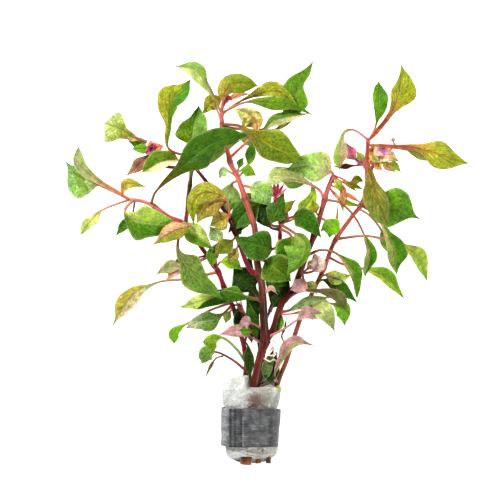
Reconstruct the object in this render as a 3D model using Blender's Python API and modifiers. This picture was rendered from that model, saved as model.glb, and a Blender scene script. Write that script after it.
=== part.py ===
"""A bunch of alternanthera: leafy cuttings in a plug of filter wool, tied with a strip of lead.

The bunch is cut and lies on its back. All sizes below are millimetres and go to metres through MM.
The origin is the middle of the strip's flat back, on the surface that the bunch lies on.
+Y runs along the bunch to the leaf tips, +X is its right side seen from above, and +Z is up.
"""
import math

import bmesh
import bpy
from mathutils import Vector

MM = 0.001
GAP = 0.3                       # room between pieces that touch

# Lead strip: its sizes are to the middle of the metal, seen along the bunch
STRIP_WIDTH = 19.0
STRIP_THICKNESS = 1.0
STRIP_HALF_SPAN = 14.5
STRIP_HALF_DEPTH = 12.0
STRIP_CORNER = 9.0
STRIP_MIDDLE = STRIP_HALF_DEPTH + STRIP_THICKNESS / 2
STRIP_INNER_END = 2.0           # X of the end that lies under the lap
STRIP_OUTER_END = -4.5          # X of the end that shows on the front
STRIP_LAP_START = 3.2           # X where the outer layer has climbed onto the inner one
CORNER_STEPS = 5

# Filter wool: Y of each section, half width, half depth
WOOL_SECTIONS = (
    (-18.4, 6.0, 5.6), (-17.0, 8.8, 7.6), (-14.0, 11.3, 9.4), (-10.0, 13.3, 10.8),
    (9.8, 13.4, 10.9), (12.0, 14.4, 11.8), (15.5, 15.0, 12.1), (19.5, 14.6, 12.0),
    (23.0, 12.4, 10.4), (25.2, 8.6, 7.6),
)
WOOL_CORNER = 0.72              # corner radius as a share of the half depth
WOOL_CORNER_STEPS = 3

# How the bunch lies: heights above the axis of the tie are pressed down by its own weight
TIE_HEIGHT = 13.0
PRESSED = 0.65

# Stems
STEM_STEP = 6.0                 # distance between the rings of a stem
STEM_SIDES_RESOLUTION = 2       # eight sides
NODE_SWELLING = 1.28            # thickening where a leaf pair grows

# Leaves
LEAF_THICKNESS = 0.7
PETIOLE_HALF_WIDTH = 0.55
TIP_HALF_WIDTH = 0.3
WIDEST_POWER = 0.75             # puts the widest place at two fifths of the blade
BLADE_ROUNDNESS = 1.2           # higher values draw the tip out further
FOLD = 0.22                     # rise of each half beside the midrib, per unit of width
RIPPLE = 0.10                   # height of the wavy edge, per unit of width
ROUTE_SAMPLES = 16              # fine points on each stretch of a midrib
PETIOLE_ROWS = (0.0, 0.5)
BLADE_ROWS = (0.0, 0.12, 0.27, 0.42, 0.58, 0.75, 0.89, 1.0)

COLOURS = {
    "lead": ((0.18, 0.19, 0.20), 0.55, 0.8),
    "wool": ((0.86, 0.87, 0.85), 0.95, 0.0),
    "stem_red": ((0.33, 0.06, 0.04), 0.45, 0.0),
    "stem_green": ((0.10, 0.12, 0.03), 0.45, 0.0),
    "leaf_green": ((0.11, 0.24, 0.02), 0.40, 0.0),
    "leaf_lime": ((0.30, 0.46, 0.04), 0.40, 0.0),
    "leaf_olive": ((0.30, 0.34, 0.08), 0.45, 0.0),
    "young_leaf": ((0.52, 0.08, 0.20), 0.40, 0.0),
}

# Stems: radius at the cut or fork, radius at the tip, route, and which route points carry leaf pairs
STEMS = {
    "stem_main": dict(
        radii=(2.4, 0.9), material="stem_red", nodes=(5, 9, 12, 14, 17, 18),
        route=((-2.5, -19.2, 13.5), (-1, 0, 14), (1, 20.5, 16), (3.5, 31.5, 20), (5.5, 38, 23),
               (7, 43.5, 26), (6.5, 54, 30), (6, 61, 32), (5.5, 71.5, 35), (4, 76.5, 37),
               (2.5, 89, 42), (1.5, 101, 47), (-3, 114.5, 52), (-6.5, 125, 55), (-10.5, 133, 57),
               (-13, 144, 58), (-14.3, 148, 58), (-14.5, 152, 58), (-14.5, 158, 58))),
    "stem_right_of_main": dict(
        radii=(1.9, 1.1), material="stem_red", nodes=(4, 7, 10, 12),
        route=((10.5, 48, 27), (12, 51.5, 28), (13.5, 56.5, 29), (16, 63, 32), (21, 68.5, 36),
               (24, 76, 40), (27.5, 86, 45), (31.5, 96.5, 50), (35, 108, 54), (36, 112, 55),
               (36.5, 114, 56), (38.5, 120, 58), (41, 126, 60))),
    "stem_left": dict(
        radii=(1.4, 1.0), material="stem_red", nodes=(7, 8, 11, 13, 15),
        route=((-4.5, -18.8, 8), (-4.5, 0, 8.5), (-3.5, 20, 11), (-2.5, 31, 14), (-4, 42, 17),
               (-7, 53, 20), (-9, 60, 21), (-13.5, 70, 23), (-16.5, 78, 24), (-21.5, 85.5, 25),
               (-26, 92, 27), (-32, 101.5, 30), (-41.5, 106, 34), (-48.5, 111, 38), (-55, 113.5, 41),
               (-61, 114.5, 43))),
    "shoot_left_upper": dict(
        radii=(1.1, 0.9), material="stem_green", nodes=(3, 4),
        route=((-32.5, 104.5, 36), (-32, 108, 38), (-31.5, 114, 41), (-30.5, 121.5, 45), (-29.5, 129, 48),
               (-28.5, 136, 50))),
    "shoot_main_left": dict(
        radii=(1.25, 0.9), material="stem_red", nodes=(2, 3, 5),
        route=((-0.5, 79, 38), (-5, 90, 42), (-8, 98, 44), (-10.5, 104.5, 46), (-15, 111, 46),
               (-20.5, 120.5, 46), (-25.5, 126.5, 48))),
    "stem_right": dict(
        radii=(1.35, 1.0), material="stem_red", nodes=(6, 8, 9, 11, 14),
        route=((8.7, -18.8, 12.5), (10, 0, 12.5), (13, 20, 13), (18, 33.5, 16), (21.5, 45, 19),
               (24, 52, 21), (27.5, 61, 24), (33, 72, 28), (36.5, 80, 31), (42.5, 94.5, 36),
               (49.5, 104.5, 41), (55, 111.5, 45), (57.5, 121, 49), (57.5, 133, 54), (58, 144, 58))),
    "stem_green_inner": dict(
        radii=(1.4, 1.1), material="stem_green", nodes=(4, 7),
        route=((3.6, -18.8, 9.5), (3.8, 0, 9.5), (5, 20, 10), (5, 35, 13), (3.5, 48, 16), (2.5, 62, 19),
               (1, 75, 22), (-1, 85, 24))),
    "shoot_crimson": dict(
        radii=(1.1, 0.8), material="stem_red", nodes=(3, 4),
        route=((12, 66, 24), (14, 80, 29), (14.5, 90, 34), (14.5, 96, 37), (14.5, 102, 40))),
}

# Young shoot tips: their stalk's route from the stem to the bud, and leaflets as direction, length and width
STALK_RADIUS = 0.8
SHOOT_TIPS = {
    "shoot_tip_left": dict(
        stalk=((-31.3, 130.9, 47), (-40, 130.3, 44), (-47.5, 133, 43.5), (-49.5, 139.5, 44)), core=2.2,
        leaflets=(((-1.0, 0.0, 0.0), 10.0, 3.4), ((0.9, 0.5, 0.3), 7.5, 3.0), ((-0.1, 1.0, 0.4), 6.0, 3.2),
                  ((0.7, -0.8, 0.1), 6.0, 2.6))),
    "shoot_tip_crimson": dict(
        stalk=((14.3, 103.6, 41), (13.2, 108.5, 44), (12.5, 113.5, 46)), core=1.6,
        leaflets=(((-0.4, 1.0, 0.15), 10.0, 2.6), ((0.0, 1.0, 0.35), 10.5, 2.4), ((0.35, 1.0, 0.1), 9.0, 2.4),
                  ((0.8, 0.75, 0.0), 9.0, 2.2))),
    "shoot_tip_right": dict(
        stalk=((60.2, 128.0, 53), (60.8, 131.5, 52), (61.4, 135.5, 51)), core=2.2,
        leaflets=(((-0.1, 1.0, 0.2), 6.0, 4.2), ((0.9, -0.1, 0.4), 10.0, 4.0), ((0.8, 0.6, 0.0), 9.5, 3.6),
                  ((0.4, -1.0, 0.1), 7.0, 3.4))),
}

# Leaves: name, material, width, roll and twist in degrees, then the midrib's route.
# A route starts at the stem's axis, its second point is where the blade begins, and it ends at the tip.
LEAVES = (
    ("leaf_left_1", "leaf_green", 8.5, 25, -20,
     ((-63, 114.8, 43), (-78.5, 125, 50), (-85, 131.5, 54), (-86, 141, 50))),
    ("leaf_left_2", "leaf_green", 20, -18, 12,
     ((-62.5, 113, 42), (-76, 121.5, 40), (-86.5, 126, 36), (-93.5, 134, 28))),
    ("leaf_left_3", "leaf_lime", 6.5, 20, 10,
     ((-61, 112.5, 41), (-74.5, 109, 33), (-81, 103, 26), (-86, 96, 18))),
    ("leaf_left_4", "leaf_green", 17, -12, 10,
     ((-58.5, 113, 43), (-63, 108.5, 48), (-58.5, 104, 50), (-48, 102, 48), (-36.5, 101.5, 42))),
    ("leaf_front_left", "leaf_green", 13.5, 12, -18,
     ((-48.5, 112.5, 42), (-47, 118.5, 54), (-32, 132, 68), (-18, 142, 73), (-1.5, 146, 71))),
    ("leaf_upper_left_1", "leaf_green", 14, 10, 10,
     ((-28.8, 137, 52), (-29.5, 141, 54), (-28.5, 150, 54), (-26, 161, 51))),
    ("leaf_upper_left_2", "leaf_olive", 12.5, -14, 10,
     ((-29.5, 135, 52), (-41, 139.5, 58), (-41, 150, 61), (-39, 163, 62), (-30, 174, 58))),
    ("leaf_upper_left_3", "leaf_green", 9, 34, -12,
     ((-30, 130, 48), (-36, 133.5, 51), (-43.5, 133, 53), (-54.5, 127.5, 49))),
    ("leaf_upper_left_4", "leaf_lime", 15, 16, 0,
     ((-52, 143, 48), (-57, 145, 50), (-62, 149.5, 52), (-69.5, 154, 47))),
    ("leaf_top_1", "leaf_olive", 10, 24, 10,
     ((-14.5, 156.5, 58), (-17.5, 163, 62), (-22.5, 171.5, 68), (-28.5, 178.5, 68), (-41, 180.5, 60))),
    ("leaf_top_2", "leaf_lime", 11, -10, 8,
     ((-14, 158, 59), (-11.5, 170, 66), (-5, 173.5, 69), (3.5, 170, 65))),
    ("leaf_top_3", "leaf_lime", 8.5, -16, -10,
     ((-13.6, 156.5, 57), (-6, 162.5, 57), (4, 166.5, 58), (14, 167.5, 59), (24.5, 158.5, 54))),
    ("leaf_top_4", "leaf_lime", 15, 12, -8,
     ((-12, 150, 55), (12, 149, 49), (18.5, 157, 50), (24, 170, 54), (31, 183, 56))),
    ("leaf_front_top", "leaf_green", 16.5, -14, 10,
     ((-13, 151.5, 63), (-5.5, 150.5, 70), (0.5, 146.5, 76), (11.5, 139.5, 80), (26, 133.5, 76))),
    ("leaf_top_5", "leaf_olive", 10, 14, 14,
     ((-10, 135, 59), (-5.5, 142, 56), (-3, 147, 56), (-1.5, 153, 57), (-9.5, 159.5, 63))),
    ("leaf_centre_1", "leaf_olive", 12, 16, 0,
     ((-10.5, 102, 42), (-6, 107, 38), (0, 111, 36), (6, 113.5, 34))),
    ("leaf_upper_right_1", "leaf_olive", 9.5, 26, 0,
     ((36.5, 115, 57), (33.5, 119, 57), (27, 122.5, 57), (18, 124, 56), (7.5, 121.5, 53))),
    ("leaf_upper_right_2", "leaf_green", 15, -10, 8,
     ((41, 125, 61), (36, 128, 65), (28, 130.5, 66), (17.5, 129, 61))),
    ("leaf_right_1", "leaf_green", 8, -16, 6,
     ((58.5, 143, 58), (61.5, 149, 58), (63, 157, 59), (63.5, 165, 59), (63.5, 173, 55))),
    ("leaf_right_2", "leaf_olive", 13.5, 14, -6,
     ((59.3, 142, 60), (67, 153.5, 68), (71.5, 161, 71), (74, 170, 72), (74.5, 181, 66))),
    ("leaf_right_3", "leaf_olive", 12.5, -10, 10,
     ((59.8, 141, 57), (71.5, 140.5, 62), (82, 139.5, 65), (95.5, 135.5, 66), (108, 132, 58))),
    ("leaf_right_4", "leaf_olive", 8, 24, 16,
     ((56.8, 144, 59), (51, 148.5, 63), (46.5, 147.5, 65), (44, 142, 64), (47.5, 131, 56))),
    ("leaf_front_right", "leaf_olive", 13, -8, -10,
     ((57, 140.5, 62), (57.5, 133.5, 70), (59.5, 126, 75), (63, 113, 77), (68, 100.5, 70))),
    ("leaf_right_5", "leaf_green", 18, 12, 8,
     ((58.5, 121.5, 50), (64.5, 117, 58), (72, 112.5, 62), (84.5, 104, 56))),
    ("leaf_right_6", "leaf_green", 12, -14, 8,
     ((56, 111, 44), (62.5, 106, 46), (67.5, 98.5, 48), (71.5, 89, 47), (73, 76.5, 38))),
    ("leaf_right_7", "leaf_lime", 7, 10, 14,
     ((44, 94.5, 36), (58, 96, 42), (74, 92.5, 42), (81.5, 86, 32), (87.5, 74, 0))),
    ("leaf_right_8", "leaf_green", 9, 22, 10,
     ((38, 113.5, 57), (44, 112.5, 62), (51, 106, 62), (56, 97, 58), (59.5, 87, 52), (57, 75.5, 42))),
    ("leaf_lower_right_1", "leaf_green", 9.5, -12, 10,
     ((28, 85, 45), (35, 89, 55), (43, 87, 57), (50.5, 78, 52), (53, 64.5, 42))),
    ("leaf_lower_right_2", "leaf_lime", 8.5, 12, 8,
     ((38.5, 86, 34), (47, 81.5, 36), (57, 79.5, 38), (67, 76, 37), (77, 64.5, 28))),
    ("leaf_lower_right_3", "leaf_green", 8.5, 18, 10,
     ((17, 64, 34), (25.5, 68.5, 46), (36, 68.5, 48), (43.5, 63.5, 46), (47, 52, 38))),
    ("leaf_lower_right_4", "leaf_olive", 7, 30, 0,
     ((9, 44.5, 28), (16.5, 49.5, 38), (23, 54, 43), (30, 57.5, 43), (37, 54.5, 36))),
    ("leaf_lower_right_5", "leaf_olive", 8.5, 24, 10,
     ((14.8, 26.5, 15), (15, 33, 25), (19, 39.5, 33), (24.5, 43, 35), (32, 41.5, 28))),
    ("leaf_lower_left_1", "leaf_green", 8.5, -12, 10,
     ((-2.8, 31.5, 16), (-8, 40, 24), (-14.5, 45, 28), (-18.5, 43, 27), (-19.5, 37, 20))),
    ("leaf_lower_left_2", "leaf_green", 9.5, 8, 8,
     ((-3, 28, 12), (-10, 34, 12), (-17.5, 37.5, 12), (-22, 36, 7), (-25, 31.5, 0))),
    ("leaf_lower_left_3", "leaf_green", 9.5, -12, 8,
     ((-10, 61, 22), (-14, 57, 27), (-19, 54, 29), (-26, 53, 29), (-33, 49.5, 24))),
    ("leaf_lower_left_4", "leaf_lime", 9.5, 10, 6,
     ((-10.5, 62.5, 20), (-22, 58, 17), (-32, 52, 14), (-37.5, 48, 12), (-39, 41.5, 7))),
    ("leaf_front_centre_left", "leaf_green", 16, 10, -10,
     ((-33, 101, 33), (-36.5, 93.5, 44), (-34.5, 84, 52), (-26, 74, 55), (-14, 64.5, 51))),
    ("leaf_left_low", "leaf_olive", 11.5, -12, 12,
     ((-17.5, 78, 24), (-32, 74.5, 25), (-46, 73, 23), (-58.5, 67, 14), (-70.5, 52, 0))),
    ("leaf_centre_low", "leaf_green", 8, 12, 0,
     ((8.5, 61.5, 38), (3, 64, 44), (-5, 65, 45), (-15, 63.5, 44), (-27, 59.5, 37))),
    ("leaf_front_centre", "leaf_green", 15, 10, 10,
     ((14.5, 89, 41), (10.5, 89.5, 50), (3, 91.5, 57), (-8.5, 95.5, 55))),
    ("leaf_front_centre_right", "leaf_green", 16, 8, -10,
     ((15.5, 101, 44), (22, 99.5, 52), (27.5, 94, 58), (24, 84, 61), (17, 73, 56))),
    ("leaf_back_left", "leaf_green", 15, 165, 0,
     ((-48.5, 110, 34), (-53, 107.5, 18), (-47, 104, 4), (-36, 101, 0), (-30, 98, 0))),
    ("leaf_back_right", "leaf_green", 15, 165, 0,
     ((55, 110.5, 41), (60, 106, 22), (66, 99, 6), (70.5, 90, 0), (72, 84, 0))),
    ("leaf_back_top", "leaf_green", 14, 165, 0,
     ((-13, 149.5, 54), (-7, 147, 30), (1, 145, 8), (12, 141, 0), (18, 138, 0))),
    ("leaf_back_upper_left", "leaf_green", 14, 165, 0,
     ((-29, 131, 44), (-26, 132.5, 24), (-20, 137, 7), (-10, 142.5, 0), (-5, 145, 0))),
    ("leaf_back_upper_right", "leaf_green", 14, 165, 0,
     ((36.5, 115, 52), (34.5, 119, 28), (28, 123, 8), (17, 126, 0), (11, 126.5, 0))),
    ("leaf_back_far_right", "leaf_green", 12, 165, 0,
     ((59, 141.5, 54), (68, 140.5, 28), (79, 139.5, 8), (92, 136, 0), (98, 134, 0))),
)


def pressed(point):
    """Gives a route point where it lies: above the tie's axis its height is pressed down."""
    x, y, z = point
    if z > TIE_HEIGHT:
        z = TIE_HEIGHT + (z - TIE_HEIGHT) * PRESSED
    return Vector((x, y, z))


def smooth_path(points, samples):
    """Runs a smooth curve through the points and returns it with that many steps per stretch."""
    chords = [(b - a).length for a, b in zip(points, points[1:])]
    slopes = [(points[1] - points[0]) / chords[0]]
    for i in range(1, len(points) - 1):
        slopes.append((points[i + 1] - points[i - 1]) / (chords[i - 1] + chords[i]))
    slopes.append((points[-1] - points[-2]) / chords[-1])
    path = []
    for i, chord in enumerate(chords):
        steps = samples if isinstance(samples, int) else max(1, round(chord / samples))
        for k in range(steps):
            t = k / steps
            start = (2 * t ** 3 - 3 * t ** 2 + 1) * points[i] + (t ** 3 - 2 * t ** 2 + t) * chord * slopes[i]
            end = (3 * t ** 2 - 2 * t ** 3) * points[i + 1] + (t ** 3 - t ** 2) * chord * slopes[i + 1]
            path.append(start + end)
    path.append(points[-1].copy())
    return path


def arc_lengths(path):
    """Distance along a path to each of its points."""
    lengths = [0.0]
    for a, b in zip(path, path[1:]):
        lengths.append(lengths[-1] + (b - a).length)
    return lengths


def point_at(path, lengths, distance):
    """Point and direction at a distance along a path."""
    distance = min(max(distance, 0.0), lengths[-1])
    i = 0
    while i < len(lengths) - 2 and lengths[i + 1] < distance:
        i += 1
    span = lengths[i + 1] - lengths[i]
    t = (distance - lengths[i]) / span
    return path[i].lerp(path[i + 1], t), (path[i + 1] - path[i]).normalized()


def new_collection(name):
    collection = bpy.data.collections.new(name)
    bpy.context.scene.collection.children.link(collection)
    return collection


def make_materials():
    """One Principled material for each finish."""
    materials = {}
    for name, (colour, roughness, metallic) in COLOURS.items():
        material = bpy.data.materials.new(name)
        material.use_nodes = True
        shader = material.node_tree.nodes["Principled BSDF"]
        shader.inputs["Base Color"].default_value = (*colour, 1.0)
        shader.inputs["Roughness"].default_value = roughness
        shader.inputs["Metallic"].default_value = metallic
        materials[name] = material
    return materials


def object_from_bmesh(bm, name, collection, material=None):
    mesh = bpy.data.meshes.new(name)
    bm.to_mesh(mesh)
    bm.free()
    if material:
        mesh.materials.append(material)
    obj = bpy.data.objects.new(name, mesh)
    collection.objects.link(obj)
    return obj


def as_cutter(obj):
    obj.hide_render = True
    obj.display_type = "WIRE"


def corner_arc(cx, cz, radius, start_degrees, steps):
    """A quarter circle in the section plane, anticlockwise from its start."""
    points = []
    for i in range(steps + 1):
        angle = math.radians(start_degrees + 90.0 * i / steps)
        points.append((cx + radius * math.cos(angle), cz + radius * math.sin(angle)))
    return points


def strip_section():
    """The lead strip seen along the bunch: from its inner end round the back to its outer end."""
    cx = STRIP_HALF_SPAN - STRIP_CORNER
    dz = STRIP_HALF_DEPTH - STRIP_CORNER
    front = STRIP_MIDDLE + STRIP_HALF_DEPTH
    lap = front + STRIP_THICKNESS + GAP
    points = [(STRIP_INNER_END, front)]
    points += corner_arc(-cx, STRIP_MIDDLE + dz, STRIP_CORNER, 90, CORNER_STEPS)
    points += corner_arc(-cx, STRIP_MIDDLE - dz, STRIP_CORNER, 180, CORNER_STEPS)
    points += corner_arc(cx, STRIP_MIDDLE - dz, STRIP_CORNER, 270, CORNER_STEPS)
    points += corner_arc(cx, STRIP_MIDDLE + dz, STRIP_CORNER, 0, CORNER_STEPS)
    points += [(STRIP_LAP_START, lap), (STRIP_OUTER_END, lap)]
    return points


def make_lead_strip(collection, material):
    """An open sheet swept across the strip's width, thickened to the lead's gauge."""
    bm = bmesh.new()
    verts = [bm.verts.new((x * MM, -STRIP_WIDTH / 2 * MM, z * MM)) for x, z in strip_section()]
    edges = [bm.edges.new(pair) for pair in zip(verts, verts[1:])]
    swept = bmesh.ops.extrude_edge_only(bm, edges=edges)
    far_side = [item for item in swept["geom"] if isinstance(item, bmesh.types.BMVert)]
    bmesh.ops.translate(bm, verts=far_side, vec=(0, STRIP_WIDTH * MM, 0))
    strip = object_from_bmesh(bm, "lead_strip", collection, material)
    solidify = strip.modifiers.new("gauge", "SOLIDIFY")
    solidify.thickness = STRIP_THICKNESS * MM
    solidify.offset = 0.0
    solidify.use_even_offset = True
    return strip


def wool_ring(half_width, half_depth):
    """A rounded section of the wool about the tie's axis."""
    radius = WOOL_CORNER * half_depth
    cx = half_width - radius
    dz = half_depth - radius
    ring = []
    for sx, sz, start in ((1, 1, 0), (-1, 1, 90), (-1, -1, 180), (1, -1, 270)):
        ring += corner_arc(sx * cx, STRIP_MIDDLE + sz * dz, radius, start, WOOL_CORNER_STEPS)
    return ring


def make_wool(collection, material, cutters):
    """The plug of wool, lofted from section to section, with a channel for each stem."""
    bm = bmesh.new()
    rings = []
    for y, half_width, half_depth in WOOL_SECTIONS:
        ring = wool_ring(half_width, half_depth)
        rings.append([bm.verts.new((x * MM, y * MM, z * MM)) for x, z in ring])
    for near, far in zip(rings, rings[1:]):
        for i in range(len(near)):
            j = (i + 1) % len(near)
            bm.faces.new((near[i], near[j], far[j], far[i]))
    bm.faces.new(rings[0])
    bm.faces.new(rings[-1])
    bmesh.ops.recalc_face_normals(bm, faces=bm.faces)
    wool = object_from_bmesh(bm, "filter_wool", collection, material)
    for cutter in cutters:
        channel = wool.modifiers.new(cutter.name, "BOOLEAN")
        channel.operation = "DIFFERENCE"
        channel.object = cutter
    return wool


def stem_tube(stem):
    """Centre points and radii of a stem, thicker at its leaf pairs."""
    route = [pressed(point) for point in stem["route"]]
    path = smooth_path(route, STEM_STEP)
    lengths = arc_lengths(path)
    leaf_pairs = [route[i] for i in stem["nodes"]]
    base, tip = stem["radii"]
    tube = []
    for point, length in zip(path, lengths):
        radius = base + (tip - base) * length / lengths[-1]
        if any((point - pair).length < GAP for pair in leaf_pairs):
            radius *= NODE_SWELLING
        tube.append((point, radius))
    return tube


def make_tube(name, tube, collection, material=None, extra=0.0):
    """A round bar along a tube's points, as a bevelled curve."""
    curve = bpy.data.curves.new(name, "CURVE")
    curve.dimensions = "3D"
    curve.bevel_depth = MM
    curve.bevel_resolution = STEM_SIDES_RESOLUTION
    curve.use_fill_caps = True
    spline = curve.splines.new("POLY")
    spline.points.add(len(tube) - 1)
    for spot, (point, radius) in zip(spline.points, tube):
        spot.co = (*(point * MM), 1.0)
        spot.radius = radius + extra
    if material:
        curve.materials.append(material)
    obj = bpy.data.objects.new(name, curve)
    collection.objects.link(obj)
    return obj


def make_closed_tube(name, tube, collection, extra=0.0):
    """A tube as a closed mesh, to cut with or to join to another piece."""
    curve_object = make_tube(name, tube, collection, extra=extra)
    bpy.context.view_layer.update()
    evaluated = curve_object.evaluated_get(bpy.context.evaluated_depsgraph_get())
    mesh = bpy.data.meshes.new_from_object(evaluated)
    bm = bmesh.new()
    bm.from_mesh(mesh)
    bmesh.ops.remove_doubles(bm, verts=bm.verts, dist=0.01 * MM)
    bmesh.ops.recalc_face_normals(bm, faces=bm.faces)
    bm.to_mesh(mesh)
    bm.free()
    closed = bpy.data.objects.new(name + "_closed", mesh)
    closed.matrix_world = curve_object.matrix_world
    collection.objects.link(closed)
    bpy.data.objects.remove(curve_object)
    as_cutter(closed)
    return closed


def make_channel_cutter(name, tube, collection):
    """The stretch of a stem that runs through the wool, a little fatter."""
    last_wool = WOOL_SECTIONS[-1][0] + STEM_STEP
    below_cut = tube[0][0] - (tube[1][0] - tube[0][0]).normalized() * 2.0
    stretch = [(below_cut, tube[0][1])] + [ring for ring in tube if ring[0].y < last_wool]
    return make_closed_tube(name + "_channel", stretch, collection, extra=GAP)


def clearance(point, tubes):
    """Distance from a point to the surface of the nearest stem."""
    nearest = math.inf
    for tube in tubes:
        for (a, radius_a), (b, radius_b) in zip(tube, tube[1:]):
            along = b - a
            t = min(max((point - a).dot(along) / along.length_squared, 0.0), 1.0)
            distance = (point - a.lerp(b, t)).length - max(radius_a, radius_b)
            nearest = min(nearest, distance)
    return nearest


def leaf_frame(direction, roll):
    """Side and face directions of a leaf about its midrib; with no roll it faces up."""
    side = direction.cross(Vector((0, 0, 1))).normalized()
    down = direction.cross(side)
    side = side * math.cos(roll) + down * math.sin(roll)
    return side, side.cross(direction)


def blade_half_width(width, share):
    """Half width of a blade at a share of its length: widest at two fifths, drawn out at the tip."""
    rise = max(math.sin(math.pi * share ** WIDEST_POWER), 0.0)
    return max(width / 2 * rise ** BLADE_ROUNDNESS, TIP_HALF_WIDTH)


def leaf_rows(route, width, roll, twist, tubes):
    """Rows across a leaf, from the stem's surface along the petiole and the blade to the tip."""
    points = [pressed(point) for point in route]
    path = smooth_path(points, ROUTE_SAMPLES)
    lengths = arc_lengths(path)
    blade_start = lengths[ROUTE_SAMPLES]
    total = lengths[-1]
    start = 0.0
    room = GAP + LEAF_THICKNESS / 2
    while start < blade_start:
        middle, direction = point_at(path, lengths, start)
        side, _ = leaf_frame(direction, math.radians(roll))
        corners = (middle, middle + side * PETIOLE_HALF_WIDTH, middle - side * PETIOLE_HALF_WIDTH)
        if min(clearance(corner, tubes) for corner in corners) > room:
            break
        start += GAP
    stations = [(start + share * (blade_start - start), PETIOLE_HALF_WIDTH, 0.0) for share in PETIOLE_ROWS]
    for share in BLADE_ROWS:
        half = max(blade_half_width(width, share), PETIOLE_HALF_WIDTH if share < 0.5 else TIP_HALF_WIDTH)
        stations.append((blade_start + share * (total - blade_start), half, share))
    rows = []
    for distance, half, share in stations:
        middle, direction = point_at(path, lengths, distance)
        turn = math.radians(roll + twist * distance / total)
        side, face = leaf_frame(direction, turn)
        rows.append((middle, side, face, half, share))
    return rows


def make_leaf(name, leaf, tubes, collection, material):
    """One petiole and blade: a grid laid along the rows, folded at the midrib, then thickened."""
    width, roll, twist, route = leaf
    rows = leaf_rows(route, width, roll, twist, tubes)
    bm = bmesh.new()
    bmesh.ops.create_grid(bm, x_segments=2, y_segments=len(rows) - 1, size=1.0)
    for vert in bm.verts:
        across = vert.co.x
        middle, side, face, half, share = rows[round((vert.co.y + 1) / 2 * (len(rows) - 1))]
        ripple = RIPPLE * math.sin(3 * math.pi * share + across * math.pi / 2) * math.sin(math.pi * share)
        lift = half * abs(across) * (FOLD * math.sin(math.pi * share) + ripple)
        spot = middle + side * half * across + face * lift
        spot.z = max(spot.z, LEAF_THICKNESS / 2)
        vert.co = spot * MM
    blade = object_from_bmesh(bm, name, collection, material)
    solidify = blade.modifiers.new("thickness", "SOLIDIFY")
    solidify.thickness = LEAF_THICKNESS * MM
    solidify.offset = 0.0
    blade.data.shade_smooth()
    return blade


def make_leaflet(name, at, direction, length, width, collection):
    """A small closed leaf of a shoot tip, from inside its core outwards."""
    way = Vector(direction).normalized()
    side, face = leaf_frame(way, 0.0)
    bm = bmesh.new()
    shares = (0.0, 0.35, 0.7, 1.0)
    bmesh.ops.create_grid(bm, x_segments=2, y_segments=len(shares) - 1, size=1.0)
    for vert in bm.verts:
        share = shares[round((vert.co.y + 1) / 2 * (len(shares) - 1))]
        half = max(width / 2 * math.sin(math.pi * (0.2 + 0.8 * share)), TIP_HALF_WIDTH)
        bend = face * length * 0.15 * math.sin(math.pi * share)
        vert.co = (Vector(at) + way * length * share + side * half * vert.co.x + bend) * MM
    leaflet = object_from_bmesh(bm, name, collection)
    solidify = leaflet.modifiers.new("thickness", "SOLIDIFY")
    solidify.thickness = LEAF_THICKNESS * MM
    solidify.offset = 0.0
    as_cutter(leaflet)
    return leaflet


def make_shoot_tip(name, tip, collection, cutters, material):
    """A bud on its stalk with its first leaflets grown out of it, as one piece."""
    path = smooth_path([pressed(point) for point in tip["stalk"]], STEM_STEP)
    at = path[-1]
    bm = bmesh.new()
    bmesh.ops.create_icosphere(bm, subdivisions=2, radius=tip["core"] * MM)
    bmesh.ops.translate(bm, verts=bm.verts, vec=at * MM)
    bud = object_from_bmesh(bm, name, collection, material)
    grown = [make_closed_tube(name + "_stalk", [(point, STALK_RADIUS) for point in path], cutters)]
    for number, (direction, length, width) in enumerate(tip["leaflets"], 1):
        grown.append(make_leaflet(f"{name}_leaflet_{number}", at, direction, length, width, cutters))
    for growth in grown:
        joined = bud.modifiers.new(growth.name, "BOOLEAN")
        joined.operation = "UNION"
        joined.object = growth
    return bud


def main():
    for obj in list(bpy.data.objects):
        bpy.data.objects.remove(obj)
    parts = new_collection("alternanthera_bunch")
    cutters = new_collection("cutters")
    materials = make_materials()

    tubes = {name: stem_tube(stem) for name, stem in STEMS.items()}
    for name, tube in tubes.items():
        make_tube(name, tube, parts, materials[STEMS[name]["material"]])
    in_wool = [name for name, tube in tubes.items() if tube[0][0].y < WOOL_SECTIONS[0][0] + 1.0]
    channels = [make_channel_cutter(name, tubes[name], cutters) for name in in_wool]

    make_lead_strip(parts, materials["lead"])
    make_wool(parts, materials["wool"], channels)
    for name, tip in SHOOT_TIPS.items():
        make_shoot_tip(name, tip, parts, cutters, materials["young_leaf"])
    for name, finish, *leaf in LEAVES:
        make_leaf(name, leaf, list(tubes.values()), parts, materials[finish])


main()
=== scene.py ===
"""The looks of the alternanthera bunch: leaves, stems, filter wool, lead strip, floor, light and camera.

Tables are in millimetres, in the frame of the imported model: the origin is the middle of the strip's
flat back, +Y runs to the leaf tips, +X is the right side seen from above, and +Z is up.
"""

import math
import random

import bpy
import numpy as np
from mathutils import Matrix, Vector
from mathutils import noise


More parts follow.
